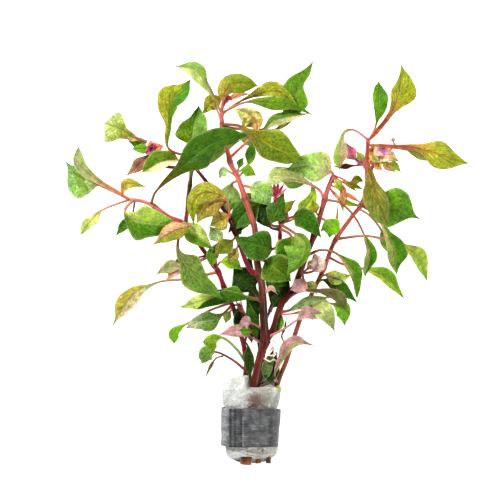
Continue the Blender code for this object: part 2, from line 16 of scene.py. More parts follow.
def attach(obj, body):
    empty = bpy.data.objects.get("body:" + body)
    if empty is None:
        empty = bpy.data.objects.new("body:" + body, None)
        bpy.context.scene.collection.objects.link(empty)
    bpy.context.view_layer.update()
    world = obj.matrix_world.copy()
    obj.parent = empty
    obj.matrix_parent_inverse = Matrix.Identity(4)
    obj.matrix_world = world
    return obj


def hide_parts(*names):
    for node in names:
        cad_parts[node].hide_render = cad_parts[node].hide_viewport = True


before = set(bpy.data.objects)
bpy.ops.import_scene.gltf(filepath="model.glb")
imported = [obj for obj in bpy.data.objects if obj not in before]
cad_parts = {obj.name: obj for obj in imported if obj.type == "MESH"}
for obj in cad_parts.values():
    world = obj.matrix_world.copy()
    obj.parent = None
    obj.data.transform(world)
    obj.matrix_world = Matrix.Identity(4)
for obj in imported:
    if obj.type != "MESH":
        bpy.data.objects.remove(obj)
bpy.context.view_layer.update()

MM = 0.001

# Camera: width of the view at the reference height, and the point of the bunch at its middle
VIEW_WIDTH = 250.0
VIEW_CENTRE = (-0.5, 89.0)
REFERENCE_HEIGHT = 30.0
CAMERA_HEIGHT = 2000.0
SENSOR_WIDTH = 36.0

# Studio, in metres and watts: name, place, size and power of each light
LIGHTS = (
    ("key", (-0.6, 0.75, 0.85), 0.36, 20.5),
    ("fill", (0.7, -0.5, 0.9), 0.6, 11.0),
)
LIGHT_TARGET = (0.0, 0.09, 0.03)
SKY_STRENGTH = 0.14
FLOOR_HALF = 3.0
FLOOR_DROP = 0.0002
FLOOR_TONE = (0.93, 0.93, 0.93)
FLOOR_GLOW = 0.8

# How the bunch lies: heights above the axis of the tie are pressed down by its own weight
TIE_HEIGHT = 13.0
PRESSED = 0.65
FLOOR_CLEARANCE = 0.03

# Rows along and columns across the blades
LARGE_GRID = (44, 14)
SMALL_GRID = (28, 10)
BACKING_GRID = (26, 10)
BUD_GRID = (20, 8)

# Blade shape; a pair of numbers is the range that the leaves differ in
WIDEST_POWER = 0.75
BLADE_ROUNDNESS = 1.2
TIP_HALF_WIDTH = 0.12
BASE_HALF_WIDTH = 0.5
LEAF_THICKNESS = 0.34
RIM_THINNING = 0.55
FOLD = 0.26
WAVES = (2.2, 3.6)
RIPPLE = (0.08, 0.18)
CURL = (0.04, 0.12)
EDGE_STRAY = 0.04
EDGE_TURNS = 13
VEIN_PAIRS = 8
VEIN_SLANT = 0.30
VEIN_BEND = 0.12
QUILTING = 0.11
LENS = (0.60, 0.98, 0.94, 0.64, 0.27)
LENS_STRAY = (0.92, 1.08)
SMALL_LEAF_FULLNESS = 1.05
SMALL_LEAF_BEND = (-15, 30)
ROUTE_SAMPLES = 24

# Blade colour
MIDDLE_SHARE = 0.45             # where a palette's middle colour lies along a blade
SHADES = (0.94, 1.06)
PALE_LIT_MARGIN = 0.84                   # where the pale edge of a blade begins, across it: its vein colour with a painted backlit glow
# The pale edge of a blade is partly its vein colour and partly a painted backlit glow
PALE_LIT_MARGIN_STRENGTH = 0.75
BACKLIT_RIM_TONE = (240, 236, 180)
BACKLIT_RIM_SHARE = 0.3                 # how much of the painted backlit glow the pale edge takes
SHOW_THROUGH = 0.3              # how much of the upper colour shows on the underside
HALVES_MEET = 8                 # the two halves blend within one part in that many of the half width
MOTTLING = (0.16, 0.28)         # strength, and detail per millimetre
FINE_MOTTLING = (0.10, 0.9)
WARMTH = (1.0, 1.05, 0.88)      # red, green and blue of daylight on the blades
LEAF_SHINE = 0.18

# Petiole and midrib
RIB_SIDES = 8
RIB_STEPS = 46
RIB_RADIUS = 0.36
RIB_TIP_RADIUS = 0.09
RIB_FLATNESS = 0.8
RIB_GROWTH = 0.05               # thickness gained per millimetre of the blade's half width
RIB_GROWTH_END = 6
RIB_TAPER = 1.1
RIB_IN_BLADE = 0.85             # radius where the blade begins, as a share of the petiole's
RIB_SINK = 0.35
RIB_PALING = 0.55               # how far the rib takes the blade's colour towards its tip
PETIOLE_SWELLING = 0.35

# Hidden leaves behind the large ones
BACK_LEAF_WIDTH = 0.55
BACK_LEAF_LENGTH = 0.5          # how far the last stretch of the route is followed
BACK_LEAF_DROP = 6.0
BACK_LEAF_LOWEST = 3.0
BACK_LEAF_SLOPE = 0.5           # its fall for each millimetre that the front leaf rises
BACK_BEND = (8, 8)

# Buds
BUD_FOLD = 0.6
BUD_ARC = ((0.15, 0.3), (0.6, 1.2), (1.0, 0.6))     # rise in millimetres at shares of a young leaf
BUD_STALK_RADIUS = 0.85
BUD_STALK_SWELLING = 0.5
BUD_STALK_SIDES = 10
BUD_SAMPLES = 6

# Stems
STEM_STEP = 0.8
STEM_SIDES = 14
STEM_RIBS = 0.03
STEM_STRAY = 0.25
STEM_MOTTLING = 0.22
STEM_END_TAPER = (0.8, 0.45)
STEM_SAMPLES = 12
AXIS_SAMPLES = 8
STEM_REACH = 8.0                # how far from an axis a leaf still grows from that stem
NODE_SWELLING = 0.36
NODE_LENGTH = 2.0
RING_LENGTH = 0.8
RING_DARKNESS = 0.5
CUT_COLOUR_LENGTH = 5.0

# Lead strip, to the middle of the metal
STRIP_WIDTH = 19.0
STRIP_THICKNESS = 1.0
STRIP_HALF_SPAN = 14.5
STRIP_HALF_DEPTH = 12.0
STRIP_CORNER = 9.0
STRIP_MIDDLE = STRIP_HALF_DEPTH + STRIP_THICKNESS / 2
STRIP_INNER_END = 2.0
STRIP_OUTER_END = -4.5
STRIP_LAP_START = 3.2
STRIP_COLUMNS = 190
STRIP_ROWS = 26
STRIP_DENTS = 0.30
GAP = 0.3
STRIP_SLANT = 0.07              # how much the right side draws in per millimetre towards the cut ends
EDGE_WANDER = 0.3
RIGHT_EDGE_DROP = 0.9
LEFT_EDGE_DROP = 0.4
CREASES = (-10.1, -7.9)
CREASE_WIDTH = 0.45
CREASE_DEPTH = 0.3
EDGE_SHADE = 0.35
LEAD_TONE = 0.86

# Filter wool: Y of each section, half width, half depth
WOOL_SECTIONS = (
    (-18.7, 1.5, 1.5), (-18.2, 6.0, 5.2), (-16.5, 9.6, 7.4), (-14.0, 12.0, 9.4), (-10.0, 12.7, 10.8),
    (9.8, 13.0, 10.9), (12.0, 13.6, 11.8), (15.5, 14.2, 12.1), (19.5, 13.8, 12.0), (23.0, 11.8, 10.4),
    (25.2, 8.6, 7.6), (25.8, 2.0, 2.0),
)
WOOL_BED = -3.5                 # height of the wool that the stems lie on at its ends, from the tie's axis
SUNK_BELOW = (-13.3, -17.3)     # where the front of the wool sinks to that bed: from and to which Y
SUNK_ABOVE = (17.6, 22.2)
SUNK_ACROSS = (-3.5, 0.5)       # above the strip only on the right, from and to which X
WOOL_ROUNDNESS = 0.8
WOOL_RINGS = 110
WOOL_AROUND = 84
WOOL_FLOOR = 0.06
WOOL_LUMPS = (0.7, 0.3)         # height, and detail per millimetre
WOOL_TUFTS = (0.35, 1.1)
WOOL_TONES = ((243, 245, 239), (186, 185, 168), (138, 108, 96))     # white, grey and brown
BAND_END = 9.7
FIBRES = 3200
FIBRES_ABOVE = 0.62             # share of the fibres that lie above the strip
FIBRE_STEPS = 5
FIBRE_RADIUS = 0.07
FIBRE_SIDES = 3
FIBRE_ENDS = (-18.8, 25.7)
FIBRE_TURN_RADIUS = 13          # turns a way round the wool into an angle
FIBRE_TURN = (-0.5, 0.5)
FIBRE_LENGTH = (2.5, 8.0)
FIBRE_HEIGHT = (0.0, 0.5)
FIBRE_STRAY = (0.3, 1.9)
STRAY_SHARE = 0.2
FIBRE_SHADES = (0.8, 1.15)

# Where the random draws of each kind start
SMALL_LEAF_SEED = 100
BUD_SEED = 300
BACKING_SEED = 700
FIBRE_SEED = 5
NOISE_SEED = 1                  # without one, vector noise starts from the clock

# Stems and shoots: radii at the base and the tip, bark colours from base to tip, the axis, the places in
# "route" where leaf pairs grow ("nodes"), and for a shoot where it joins its stem
STEMS = {
    "stem_main": dict(
        radii=(2.9, 0.9), slot="stem_red", nodes=(5, 9, 12, 14, 17, 18),
        colours=("brown", "brown", "red", "brown", "mauve", "salmon",
                 "salmon", "salmon"),
        route=((-2.5, -19.2, 13.5), (-1, 0, 14), (1.8, 20.5, 16), (4.0, 31.5, 20), (5.5, 38, 23),
               (7, 43.5, 26), (6.5, 54, 30), (6, 61, 32), (5.5, 71.5, 35), (4, 76.5, 37),
               (2.5, 89, 42), (1.5, 101, 47), (-3, 114.5, 52), (-6.5, 125, 55), (-10.5, 133, 57),
               (-13, 144, 58), (-14.3, 148, 58), (-14.5, 152, 58), (-14.5, 158, 58))),
    "stem_right_of_main": dict(
        radii=(1.9, 1.1), slot="stem_red", nodes=(4, 7, 10, 12), join=((7, 43.5, 26),),
        colours=("brown", "red", "red", "salmon"),
        route=((10.5, 48, 27), (12, 51.5, 28), (13.5, 56.5, 29), (16, 63, 32), (21, 68.5, 36),
               (24, 76, 40), (27.5, 86, 45), (31.5, 96.5, 50), (35, 108, 54), (36, 112, 55),
               (36.5, 114, 56), (38.5, 120, 58), (41, 126, 60))),
    "stem_left": dict(
        radii=(1.4, 1.0), slot="stem_red", nodes=(7, 8, 11, 13, 15),
        colours=("brown", "brown", "crimson", "crimson", "rose", "pale"),
        route=((-4.5, -18.8, 8), (-4.5, 0, 8.5), (-3.5, 20, 11), (-2.5, 31, 14), (-4, 42, 17),
               (-7, 53, 20), (-9, 60, 21), (-13.5, 70, 23), (-16.5, 78, 24), (-21.5, 85.5, 25),
               (-26, 92, 27), (-32, 101.5, 30), (-41.5, 106, 34), (-48.5, 111, 38), (-55, 113.5, 41),
               (-61, 114.5, 43))),
    "shoot_left_upper": dict(
        radii=(1.1, 0.9), slot="stem_green", nodes=(3, 4), join=((-32, 101.5, 30),),
        colours=("crimson", "olive", "olive"),
        route=((-32.5, 104.5, 36), (-32, 108, 38), (-31.5, 114, 41), (-30.5, 121.5, 45), (-29.5, 129, 48),
               (-28.5, 136, 50))),
    "shoot_main_left": dict(
        radii=(1.25, 0.9), slot="stem_red", nodes=(2, 3, 5), join=((4, 75.5, 36.5),),
        colours=("crimson", "brown", "crimson"),
        route=((-0.5, 79, 38), (-5, 90, 42), (-8, 98, 44), (-10.5, 104.5, 46), (-15, 111, 46),
               (-20.5, 120.5, 46), (-27.5, 129.5, 48))),
    "stem_right": dict(
        radii=(1.35, 1.0), slot="stem_red", nodes=(6, 8, 9, 11, 14), cut="olive",
        colours=("rust", "rust", "salmon", "salmon"),
        route=((8.7, -18.8, 12.5), (10, 0, 12.5), (13, 20, 13), (18, 33.5, 16), (21.5, 45, 19),
               (24, 52, 21), (27.5, 61, 24), (33, 72, 28), (36.5, 80, 31), (42.5, 94.5, 36),
               (49.5, 104.5, 41), (55, 111.5, 45), (57.5, 121, 49), (57.5, 133, 54), (58, 144, 58))),
    "stem_green_inner": dict(
        radii=(1.4, 1.1), slot="stem_green", nodes=(4, 7),
        colours=("olive", "dark", "dark"),
        route=((3.6, -18.8, 9.5), (3.8, 0, 9.5), (5, 20, 10), (5, 35, 13), (3.5, 48, 16), (2.5, 62, 19),
               (1, 75, 22), (-1, 85, 24))),
    "shoot_crimson": dict(
        radii=(1.1, 0.8), slot="stem_red", nodes=(3, 4), join=((9.5, 58, 22),),
        colours=("crimson", "crimson", "crimson"),
        route=((12, 66, 24), (14, 80, 29), (14.5, 90, 34), (14.5, 96, 37), (14.5, 102, 40))),
}

# Buds: the stalk, and direction, length, width and palette of each young leaf
SHOOT_TIPS = {
    "shoot_tip_left": dict(
        stalk=((-29.5, 130.9, 47), (-40, 130.3, 44), (-47.5, 133, 43.5), (-49.5, 139.5, 44)),
        leaflets=(((-1.0, 0.0, 0.0), 10.0, 5.0, "bright"), ((0.9, 0.2, 0.3), 6.5, 5.0, "rose_orange"),
                  ((-0.1, 1.0, 0.4), 4.5, 4.6, "rose_orange"), ((0.6, -0.8, 0.1), 5.5, 4.6, "rose_orange"),
                  ((0.5, 0.9, 0.6), 4.5, 3.4, "magenta"), ((-0.7, -0.6, 0.3), 4.5, 4.0, "rose"),
                  ((0.6, -0.2, 1.0), 3.4, 3.4, "magenta"), ((-0.5, 0.3, 1.0), 3.4, 3.4, "magenta"))),
    "shoot_tip_crimson": dict(
        stalk=((14.5, 102, 40), (13.2, 108.5, 44), (12.2, 115.0, 46)),
        leaflets=(((-0.45, 1.0, 0.15), 8.5, 1.9, "crimson"), ((-0.1, 1.0, 0.35), 9.5, 1.8, "crimson"),
                  ((0.2, 1.0, 0.1), 9.0, 1.8, "crimson"), ((0.55, 0.9, 0.0), 9.0, 1.6, "crimson"),
                  ((0.85, 0.7, 0.1), 8.5, 1.4, "rose"), ((-0.8, 0.7, 0.0), 5.0, 1.5, "rose"))),
    "shoot_tip_right": dict(
        stalk=((58.5, 125.0, 52), (60.8, 131.5, 52), (61.4, 135.5, 51)),
        leaflets=(((-0.1, 1.0, 0.2), 7.0, 4.6, "blush"), ((0.9, -0.1, 0.4), 10.0, 4.6, "blush"),
                  ((0.8, 0.6, 0.0), 9.5, 3.6, "magenta_pale"), ((0.4, -1.0, 0.1), 7.0, 3.4, "peach"),
                  ((1.0, 0.25, 0.3), 8.5, 4.2, "blush"), ((0.5, 0.9, 0.2), 7.5, 3.4, "rose"),
                  ((-0.7, 0.8, 0.2), 6.0, 4.0, "blush"), ((0.9, -0.6, 0.1), 8.0, 3.2, "lime"))),
}


def back_leaf(width, route, start=1, palette="green"):
    """A plain leaf on the back of the bunch, its underside up."""
    return dict(palette=palette, flip=True, width=width, bend=BACK_BEND, start=start, route=route)


# Leaves. "route" runs from the stem's axis along the petiole and the midrib to the tip; the blade begins
# at the route point numbered "start", and "stalk" is the share of it that keeps the base colour. "left"
# and "right" are the half widths seen from above, looking from base to tip, at a sixth, two sixths and
# so on of the blade. "bend" is the rise of each edge in degrees. "palette" names one palette, or one
# for each half. "flip" turns the underside up. "slot" is the material slot where it isn't leaf_green.
# Where a leaf's halves take different palettes, that is partly their own colour and partly painted light and
# shade, one half lit and the other shaded as the blade folds.
LEAVES = {
    "leaf_left_1": dict(
        palette="brown_green", bend=(35, 30), start=0, stalk=0.3,
        left=(1.1, 1.2, 1.9, 2.7, 2.7), right=(1.1, 1.2, 1.8, 2.6, 2.7),
        route=((-63, 114.8, 43), (-78.5, 125, 50), (-85, 131.5, 54), (-86, 141, 50))),
    "leaf_left_2": dict(
        palette="pale_green_edge", bend=(-25, 15),
        left=(6, 10.5, 9, 4.5, 1.2), right=(2, 4, 4.5, 3, 1),
        route=((-62.5, 113, 42), (-76, 121.5, 40), (-86.5, 126, 36), (-93.5, 134, 28))),
    "leaf_left_3": dict(
        slot="leaf_lime", palette="pale_lime", flip=True, bend=(25, 20),
        left=(2, 3.5, 2.5, 2, 1), right=(1, 1.5, 3, 2.5, 1.5),
        route=((-61, 112.5, 41), (-74.5, 109, 33), (-81, 103, 26), (-86, 96, 18))),
    "leaf_left_4": dict(
        palette="left_4_top/green", bend=(12, -20),
        left=(4, 8.5, 7.5, 6, 3.5), right=(4, 9, 7.5, 6, 3.5),
        route=((-58.5, 113, 43), (-63, 108.5, 48), (-58.5, 104, 50), (-48, 102, 48), (-36.5, 101.5, 42))),
    "leaf_front_left": dict(
        palette="deep_brown_rib", bend=(12, -22),
        left=(1.5, 3, 7, 7.5, 5.5), right=(1.5, 3.8, 7.8, 4.6, 3.2),
        route=((-48.5, 112.5, 42), (-47, 118.5, 54), (-32, 132, 68), (-18, 142, 73), (-1.5, 146, 71))),
    "leaf_upper_left_1": dict(
        palette="leaf_mid/soft_green", bend=(8, 30),
        left=(8, 7.7, 6.5, 3, 1.5), right=(7, 7, 7, 5.5, 3),
        route=((-28.8, 137, 52), (-29.5, 141, 54), (-28.5, 150, 54), (-26, 161, 51))),
    "leaf_upper_left_2": dict(
        slot="leaf_olive", palette="gold_lime/green", bend=(18, 35),
        left=(1.3, 2, 6, 7.5, 2.5), right=(1.3, 1.6, 2.4, 5, 4.5),
        route=((-29.5, 135, 52), (-41, 139.5, 58), (-41, 150, 61), (-39, 163, 62), (-30, 174, 58))),
    "leaf_upper_left_3": dict(
        palette="cream/olive_leaf", bend=(42, 8),
        left=(2, 3, 3.5, 3, 1.7), right=(4.5, 5.7, 6.5, 5, 3.3),
        route=((-30, 130, 48), (-36, 133.5, 51), (-43.5, 133, 53), (-54.5, 127.5, 49))),
    "leaf_upper_left_4": dict(
        slot="leaf_lime", palette="lime_fan", bend=(-15, -12),
        left=(1.5, 4, 6, 8, 8.5), right=(1.5, 2, 4.5, 7, 6.5),
        route=((-52, 143, 48), (-57.5, 145, 50), (-64.5, 149, 52), (-73, 152.5, 47))),
    "leaf_top_1": dict(
        slot="leaf_olive", palette="cream_green/leaf_mid", flip=True, bend=(20, -40),
        left=(1.5, 3, 4, 3, 0.5), right=(1.2, 1.6, 4.2, 3.8, 0.5),
        route=((-14.5, 156.5, 58), (-17.5, 163, 62), (-22.5, 171.5, 68), (-28.5, 178.5, 68),
               (-41, 180.5, 60))),
    "leaf_top_2": dict(
        slot="leaf_lime", palette="olive_gold", bend=(-12, -15),
        left=(4, 5.5, 5.5, 4.5, 2.5), right=(1.8, 3.4, 5, 5, 3),
        route=((-14, 158, 59), (-14, 162.5, 62), (-12.5, 167.5, 65), (-8.5, 171, 67), (-3, 171.5, 69),
               (3.5, 170.5, 65))),
    "leaf_top_3": dict(
        slot="leaf_lime", palette="gold_lime", bend=(15, 12),
        left=(1.3, 3.5, 5, 3, 1.5), right=(0.8, 1.5, 2.5, 4, 1.2),
        route=((-13.6, 156.5, 57), (-6, 162.5, 57), (4, 166.5, 58), (14, 167.5, 59), (24.5, 158.5, 54))),
    "leaf_top_4": dict(
        slot="leaf_lime", palette="leaf_mid", bend=(10, 25),
        left=(2, 4, 8, 7, 2.5), right=(3, 5, 7.5, 1.8, 1.8),
        route=((-12, 150, 55), (12, 149, 49), (18.5, 157, 50), (24, 170, 54), (31, 183, 56))),
    "leaf_front_top": dict(
        palette="lime_front/front_top", bend=(10, -8),
        left=(1.5, 4.5, 8.5, 8, 4), right=(1.5, 4.5, 7.5, 6, 4.5),
        route=((-13, 151.5, 63), (-5.5, 150.5, 70), (0.5, 146.5, 76), (11.5, 139.5, 80),
               (26, 133.5, 76))),
    "leaf_top_5": dict(
        slot="leaf_olive", palette="pale_orange", flip=True, bend=(20, 18),
        left=(5.5, 9, 9, 6, 2.5), right=(2.5, 4, 3.5, 2, 0.7),
        route=((-10, 135, 59), (2.5, 148, 56), (2.5, 153, 57), (-1.5, 157, 60), (-9.5, 159.5, 63))),
    "leaf_centre_1": dict(
        slot="leaf_olive", palette="olive_green", bend=(5, 0),
        left=(4, 6, 7, 6, 3), right=(4, 6, 7, 6, 3),
        route=((-10.5, 102, 42), (-6, 107, 38), (0, 111, 36), (6, 113.5, 34))),
    "leaf_upper_right_1": dict(
        slot="leaf_olive", palette="pale_pink_rib", flip=True, bend=(-10, 30),
        left=(0.8, 0.8, 0.8, 1, 1.2), right=(1, 2.5, 5, 7, 6),
        route=((36.5, 115, 57), (33.5, 119, 57), (27, 122.5, 57), (18, 124, 56), (7.5, 121.5, 53))),
    "leaf_upper_right_2": dict(
        palette="green_pink_base", bend=(-4, 8),
        left=(6, 7.3, 7, 5.5, 2.8), right=(6.5, 8, 6.5, 4.2, 2.2),
        route=((41, 125, 61), (40, 127.5, 64), (28, 131, 67), (17.5, 129, 62))),
    "leaf_right_1": dict(
        palette="bright/green", bend=(22, 18),
        left=(0.7, 1.8, 2.6, 3.2, 2.5), right=(0.8, 3, 4.6, 4.5, 2.2),
        route=((58.5, 143, 58), (61.5, 149, 58), (63, 157, 59), (63.5, 165, 59), (63.5, 173, 55))),
    "leaf_right_2": dict(
        slot="leaf_olive", palette="mottled_lime/olive_lime", bend=(28, 8), start=0, stalk=0.36,
        left=(1.2, 1.2, 2.0, 4.2, 1.4), right=(1.2, 1.2, 2.4, 8.2, 4.8),
        route=((59.3, 142, 60), (67, 153.5, 68), (71.5, 161, 71), (74, 170, 72), (74.5, 181, 66))),
    "leaf_right_3": dict(
        slot="leaf_olive", palette="mottled_lime", bend=(8, -22), start=0, stalk=0.36,
        left=(0.8, 1.1, 2.6, 6.6, 3.4), right=(0.8, 1.1, 1.8, 6.4, 5.2),
        route=((59.8, 141, 57), (71.5, 140.5, 62), (82, 139.5, 65), (95.5, 135.5, 66), (108, 132, 58))),
    "leaf_right_4": dict(
        slot="leaf_olive", palette="beige/pale_green", bend=(38, 20),
        left=(0.8, 1.2, 3.6, 3.6, 1.5), right=(0.8, 1.2, 2.4, 3.4, 2.6),
        route=((56.8, 144, 59), (51, 148.5, 63), (46.5, 147.5, 65), (44.5, 141, 64), (44, 129, 56))),
    "leaf_front_right": dict(
        slot="leaf_olive", palette="olive_red_veins", bend=(-10, 12),
        left=(1.2, 2, 4.5, 4.5, 2.8), right=(1.4, 4.5, 7, 6.8, 5.2),
        route=((57, 140.5, 62), (57.5, 133.5, 70), (59.5, 126, 75), (63, 113, 77), (68, 100.5, 70))),
    "leaf_right_5": dict(
        palette="fresh_green", bend=(18, -12),
        left=(5.5, 9.5, 9, 5, 1.5), right=(7, 11, 10.5, 5, 1),
        route=((58.5, 121.5, 50), (62, 115, 58), (71, 110.5, 62), (84.5, 104, 56))),
    "leaf_right_6": dict(
        palette="green/pink_olive", bend=(10, 15),
        left=(1, 2, 5.5, 6, 2), right=(1, 2.3, 3.4, 4, 2.7),
        route=((56, 111, 44), (62.5, 106, 46), (67.5, 98.5, 48), (71.5, 89, 47), (73, 76.5, 38))),
    "leaf_right_7": dict(
        slot="leaf_lime", palette="lime", bend=(10, 25), start=2,
        left=(2, 4.6, 4, 2.8, 1.4), right=(1.8, 3.2, 3, 2.2, 1),
        route=((44, 94.5, 36), (58, 96, 42), (72, 92.5, 42), (82.5, 87, 30), (89.5, 73, 0))),
    "leaf_right_8": dict(
        palette="green/pink_olive", bend=(18, 42), start=3,
        left=(1.5, 2.8, 3.5, 2, 0.8), right=(1.4, 2, 3, 2.6, 2),
        route=((38, 113.5, 57), (44, 112.5, 62), (51, 106, 62), (56, 97, 58), (59.5, 87, 52),
               (57, 75.5, 42))),
    "leaf_lower_right_1": dict(
        palette="green/pink_olive", bend=(8, 28), start=2,
        left=(2, 4.5, 4.8, 3, 1.8), right=(1.5, 2, 1.8, 1.2, 0.8),
        route=((28, 85, 45), (35, 89, 55), (43, 87, 57), (50.5, 78, 52), (53, 64.5, 42))),
    "leaf_lower_right_2": dict(
        slot="leaf_lime", palette="bright/lime", bend=(10, 15), start=2,
        left=(2.3, 4, 3.8, 2.2, 1.2), right=(2, 3, 3, 2.4, 1.2),
        route=((38.5, 86, 34), (47, 81.5, 36), (57, 79.5, 38), (67, 76, 37), (77, 64.5, 28))),
    "leaf_lower_right_3": dict(
        palette="purple_rib", bend=(8, -15),
        left=(0.6, 1, 2.6, 4, 2.6), right=(0.8, 1.4, 2.2, 2, 1.4),
        route=((17, 64, 34), (25.5, 68.5, 46), (36, 68.5, 48), (42.5, 65.5, 46), (48, 58, 40))),
    "leaf_lower_right_4": dict(
        slot="leaf_olive", palette="mauve", flip=True, bend=(25, 10), start=2,
        left=(2.5, 4, 2.8, 2.2, 1.2), right=(1.2, 2.5, 3.4, 2.5, 1.2),
        route=((9, 44.5, 28), (16.5, 49.5, 38), (23, 54, 43), (30, 57.5, 43), (37, 54.5, 36))),
    "leaf_lower_right_5": dict(
        slot="leaf_olive", palette="dusty/sage_pink", flip=True, bend=(25, 15),
        left=(1.2, 2.2, 4, 3.2, 0.8), right=(1.2, 1.5, 1.8, 2.2, 0.8),
        route=((10.5, 22, 15), (12, 27, 22), (16.5, 36.5, 31), (22.5, 43, 35), (32, 41, 28))),
    "leaf_lower_left_1": dict(
        palette="lime_green", bend=(10, 10), start=2,
        left=(1, 1.5, 2, 2, 1), right=(2.5, 4.5, 5, 3.5, 1.5),
        route=((-2.8, 31.5, 16), (-8, 40, 24), (-14.5, 45, 28), (-18.5, 43, 27), (-19.5, 37, 20))),
    "leaf_lower_left_2": dict(
        palette="soft_green", bend=(5, 8), start=2,
        left=(1.5, 3, 3.2, 2.5, 1.5), right=(2.5, 4.5, 4.5, 3.5, 1.8),
        route=((-3, 28, 12), (-10, 34, 12), (-17.5, 37.5, 12), (-22, 36, 7), (-25, 31.5, 0))),
    "leaf_lower_left_3": dict(
        palette="pink_tip_green", bend=(-10, 20),
        left=(2, 5.2, 5.2, 4, 1.8), right=(2.5, 4.5, 4.4, 3, 1.6),
        route=((-10, 61, 22), (-14, 57, 27), (-19, 54, 29), (-26, 53, 29), (-33, 49.5, 24))),
    "leaf_lower_left_4": dict(
        slot="leaf_lime", palette="bright", bend=(10, 8), start=2,
        left=(0.8, 1.5, 1.8, 2.2, 1.2), right=(1, 2, 3.5, 3.2, 1.8),
        route=((-10.5, 62.5, 20), (-22, 58, 17), (-32, 52, 14), (-37.5, 48, 12), (-39, 41.5, 7))),
    "leaf_front_centre_left": dict(
        palette="bright_brown_rib", bend=(-8, 10),
        left=(1.2, 7.5, 6.5, 4.5, 3), right=(1.2, 2.5, 7, 5.5, 2.5),
        route=((-33, 101, 33), (-36.5, 93.5, 44), (-34.5, 84, 52), (-26, 74, 55), (-14, 64.5, 51))),
    "leaf_left_low": dict(
        slot="leaf_olive", palette="pale_blush/mottled", bend=(-25, 20), start=2,
        left=(1.5, 3, 4.6, 3.6, 1), right=(0.9, 3.8, 5.2, 4.2, 1.2),
        route=((-17.5, 78, 24), (-32, 74.5, 25), (-46, 73, 23), (-58.5, 67, 14), (-71, 49.5, 0))),
    "leaf_centre_low": dict(
        palette="deep_green", bend=(-10, 15),
        left=(0.8, 1.5, 1.7, 1.5, 0.8), right=(1.2, 3, 5, 2.8, 2.2),
        route=((8.5, 61.5, 38), (3, 64, 44), (-5, 65, 45), (-15, 63.5, 44), (-27, 59.5, 37))),
    "leaf_front_centre": dict(
        palette="deep_green", bend=(8, 12),
        left=(6, 7.5, 7.5, 5.5, 2.5), right=(6, 8, 6.5, 3, 1.5),
        route=((14.5, 89, 41), (10.5, 89.5, 50), (3, 91.5, 57), (-8.5, 95.5, 55))),
    "leaf_front_centre_right": dict(
        palette="leaf_mid/sheen_green", bend=(10, -8),
        left=(2.5, 2.3, 3.2, 2.5, 1.5), right=(5, 9, 10.5, 8, 3.4),
        route=((15.5, 101, 44), (21.5, 97.5, 52), (27, 92, 58), (25, 85, 61), (18, 76.5, 56))),
    "leaf_back_left": back_leaf(
        11, ((-48.5, 110, 34), (-53, 107.5, 18), (-47, 104, 4), (-36, 101, 0), (-30, 98, 0))),
    "leaf_back_right": back_leaf(
        7, ((55, 110.5, 41), (60, 106, 22), (66, 99, 6), (70.5, 90, 0), (72, 84, 0)), start=2),
    "leaf_back_top": back_leaf(
        8, ((-13, 149.5, 54), (-7, 147, 30), (1, 145, 8), (12, 141, 0), (18, 138, 0))),
    "leaf_back_upper_left": back_leaf(
        7, ((-29, 131, 44), (-26, 132.5, 24), (-20, 137, 7), (-10, 142.5, 0), (-5, 145, 0))),
    "leaf_back_upper_right": back_leaf(
        10, ((36.5, 115, 52), (34.5, 119, 28), (28, 123, 8), (17, 126, 0), (11, 126.5, 0)), start=2),
    "leaf_back_far_right": back_leaf(
        6, ((59, 141.5, 54), (68, 140.5, 28), (79, 139.5, 8), (92, 136, 0), (98, 134, 0)),
        start=2, palette="olive_green"),
}

